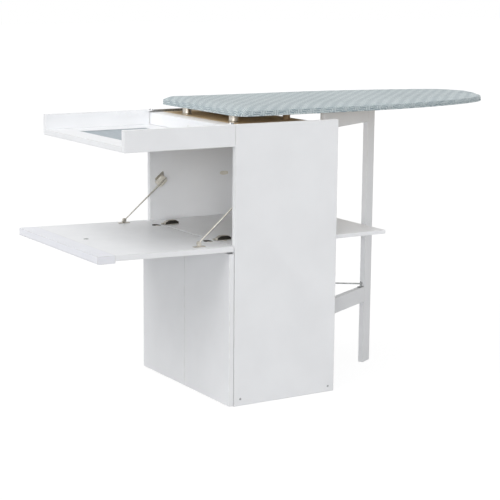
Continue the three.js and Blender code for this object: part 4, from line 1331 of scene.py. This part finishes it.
# The hollows between the woven threads are painted darker, as painted shade.
shaded = blended(tree, ranged(tree, threads, 0.0, 0.5, 0.2, 0.0), printed, looks(*THREAD_DARK))
worn_patches = ranged(tree, speckle(tree, own, 5.0, 3.0), 0.4, 0.7, 0.0, 0.14)
faded = blended(tree, worn_patches, shaded, looks(*THREAD_LIGHT))
tree.links.new(faded, surface["Base Color"])
tree.links.new(ranged(tree, threads, 0.0, 1.0, 0.9, 0.78), surface["Roughness"])
surface["Sheen Weight"].default_value = 0.25
raised(tree, surface, threads, COTTON_RELIEF)

cover_piece = piece("board_cover_padded", cover, cotton, "cabinet", "cover_fabric", "board_cover")
cover_piece.data.set_sharp_from_angle(angle=math.radians(75))
cover_piece.modifiers.clear()

# The hem's cord, rolled in the cotton along the lower edge.
hem = bmesh.new()
hem_loops = []
for spot, outward, along in edge_line[::2]:
    out = outward.to_3d()
    run = Vector((-out.y, out.x, 0.0))
    swell = HEM_RADIUS * (1.0 + HEM_SWELL * math.sin(4 * math.pi * along / PUCKER_GAP))
    centre = spot.to_3d() + out * (pucker(along, HEM_GATHER) - HEM_RADIUS - HEM_IN)
    centre.z = cover_low.z + HEM_RADIUS + HEM_LIFT
    ring = Matrix.Translation(centre) @ axes_along(out, run.cross(out), run)
    corners = bmesh.ops.create_circle(hem, segments=8, radius=swell, matrix=ring)["verts"]
    hem_loops.append(list({edge for corner in corners for edge in corner.link_edges}))
for first, second in zip(hem_loops, hem_loops[1:] + hem_loops[:1]):
    bmesh.ops.bridge_loops(hem, edges=first + second)
bmesh.ops.recalc_face_normals(hem, faces=hem.faces)
plan = hem.loops.layers.uv.new("plan")
for face in hem.faces:
    for loop in face.loops:
        loop[plan].uv = loop.vert.co.xy
hem_piece = piece("board_cover_hem", hem, cotton, "cabinet", "cover_fabric")
hem_piece.modifiers.clear()


# ---------- Studio ----------
# A pale floor that keeps a soft shadow, a white room, a broad light from the viewer's side that reaches
# into the compartment, and a broader one from above.

LIGHTS = (
    ("side light", (0.82, -0.55, 0.06), 1.62, 30),  # name, where it comes from, strength, width in degrees
    ("top light", (0.14, -0.58, 0.80), 1.56, 60),
)
ROOM_LIGHT = 0.59
FLOOR_HALF = 30.0
FLOOR_TONE = (166, 167, 168)
FLOOR_UNDER = 0.0003  # how far the floor lies below the cabinet's feet
FLOOR_GLOW = 1.32  # what a camera sees of the floor where no shadow falls is just white
FLOOR_GLOW_SHARE = 0.7


def seen_directly(tree):
    """One for what a camera sees, also by way of gloss or glass, and none for what lights the room."""
    rays = put(tree, "ShaderNodeLightPath").outputs
    by_the_way = figure(tree, "MAXIMUM", rays["Is Glossy Ray"], rays["Is Transmission Ray"])
    return figure(tree, "MAXIMUM", rays["Is Camera Ray"], by_the_way)


world = bpy.data.worlds.new("white room")
bpy.context.scene.world = world
world.use_nodes = True
tree = world.node_tree
background = tree.nodes["Background"].inputs
tree.links.new(ranged(tree, seen_directly(tree), 0.0, 1.0, ROOM_LIGHT, 1.0), background["Strength"])
background["Color"].default_value = (1.0, 1.0, 1.0, 1.0)

for name, source, strength, width in LIGHTS:
    lamp = in_scene(name, bpy.data.lights.new(name, "SUN"))
    lamp.data.energy = strength
    lamp.data.angle = math.radians(width)
    lamp.rotation_mode = "QUATERNION"
    lamp.rotation_quaternion = Vector(source).to_track_quat("Z", "Y")

floor_shape = bmesh.new()
bmesh.ops.create_grid(floor_shape, x_segments=1, y_segments=1, size=FLOOR_HALF)
bmesh.ops.translate(floor_shape, vec=(0, 0, -FLOOR_UNDER), verts=floor_shape.verts)
floor = in_scene("floor", mesh_of("floor", floor_shape))
floor_finish, tree, surface, own = finish("pale floor")
surface["Base Color"].default_value = looks(*FLOOR_TONE)
surface["Roughness"].default_value = 0.9
surface["Specular IOR Level"].default_value = 0.0
glow = put(tree, "ShaderNodeEmission", {"Color": (1.0, 1.0, 1.0, 1.0), "Strength": FLOOR_GLOW})
both = put(tree, "ShaderNodeMixShader", {
    0: figure(tree, "MULTIPLY", seen_directly(tree), FLOOR_GLOW_SHARE),
    1: tree.nodes["Principled BSDF"].outputs[0],
    2: glow.outputs[0],
})
tree.links.new(both.outputs[0], tree.nodes["Material Output"].inputs["Surface"])
floor.data.materials.append(floor_finish)


# ---------- Camera ----------
# It stands at the right of the cabinet, a little above the board, and looks slightly down. Its place,
# turn and lens were fitted to the photograph's straight edges.

VIEW_YAW = math.radians(58.386)
VIEW_PITCH = math.radians(10.503)
VIEW_ROLL = math.radians(0.504)
VIEW_PLACE = (4.1600, -2.6687, 1.3355)
FOCAL_PIXELS = 1505.5
FRAME_PIXELS = 500
SENSOR = 36.0

camera = in_scene("camera", bpy.data.cameras.new("camera"))
camera.data.sensor_width = SENSOR
camera.data.lens = FOCAL_PIXELS / FRAME_PIXELS * SENSOR
camera.rotation_mode = "QUATERNION"
camera.location = VIEW_PLACE
camera.rotation_quaternion = (
    Matrix.Rotation(VIEW_YAW, 3, "Z")
    @ Matrix.Rotation(math.pi / 2 - VIEW_PITCH, 3, "X")
    @ Matrix.Rotation(VIEW_ROLL, 3, "Z")
).to_quaternion()
bpy.context.scene.camera = camera
bpy.context.scene.view_settings.view_transform = "Standard"
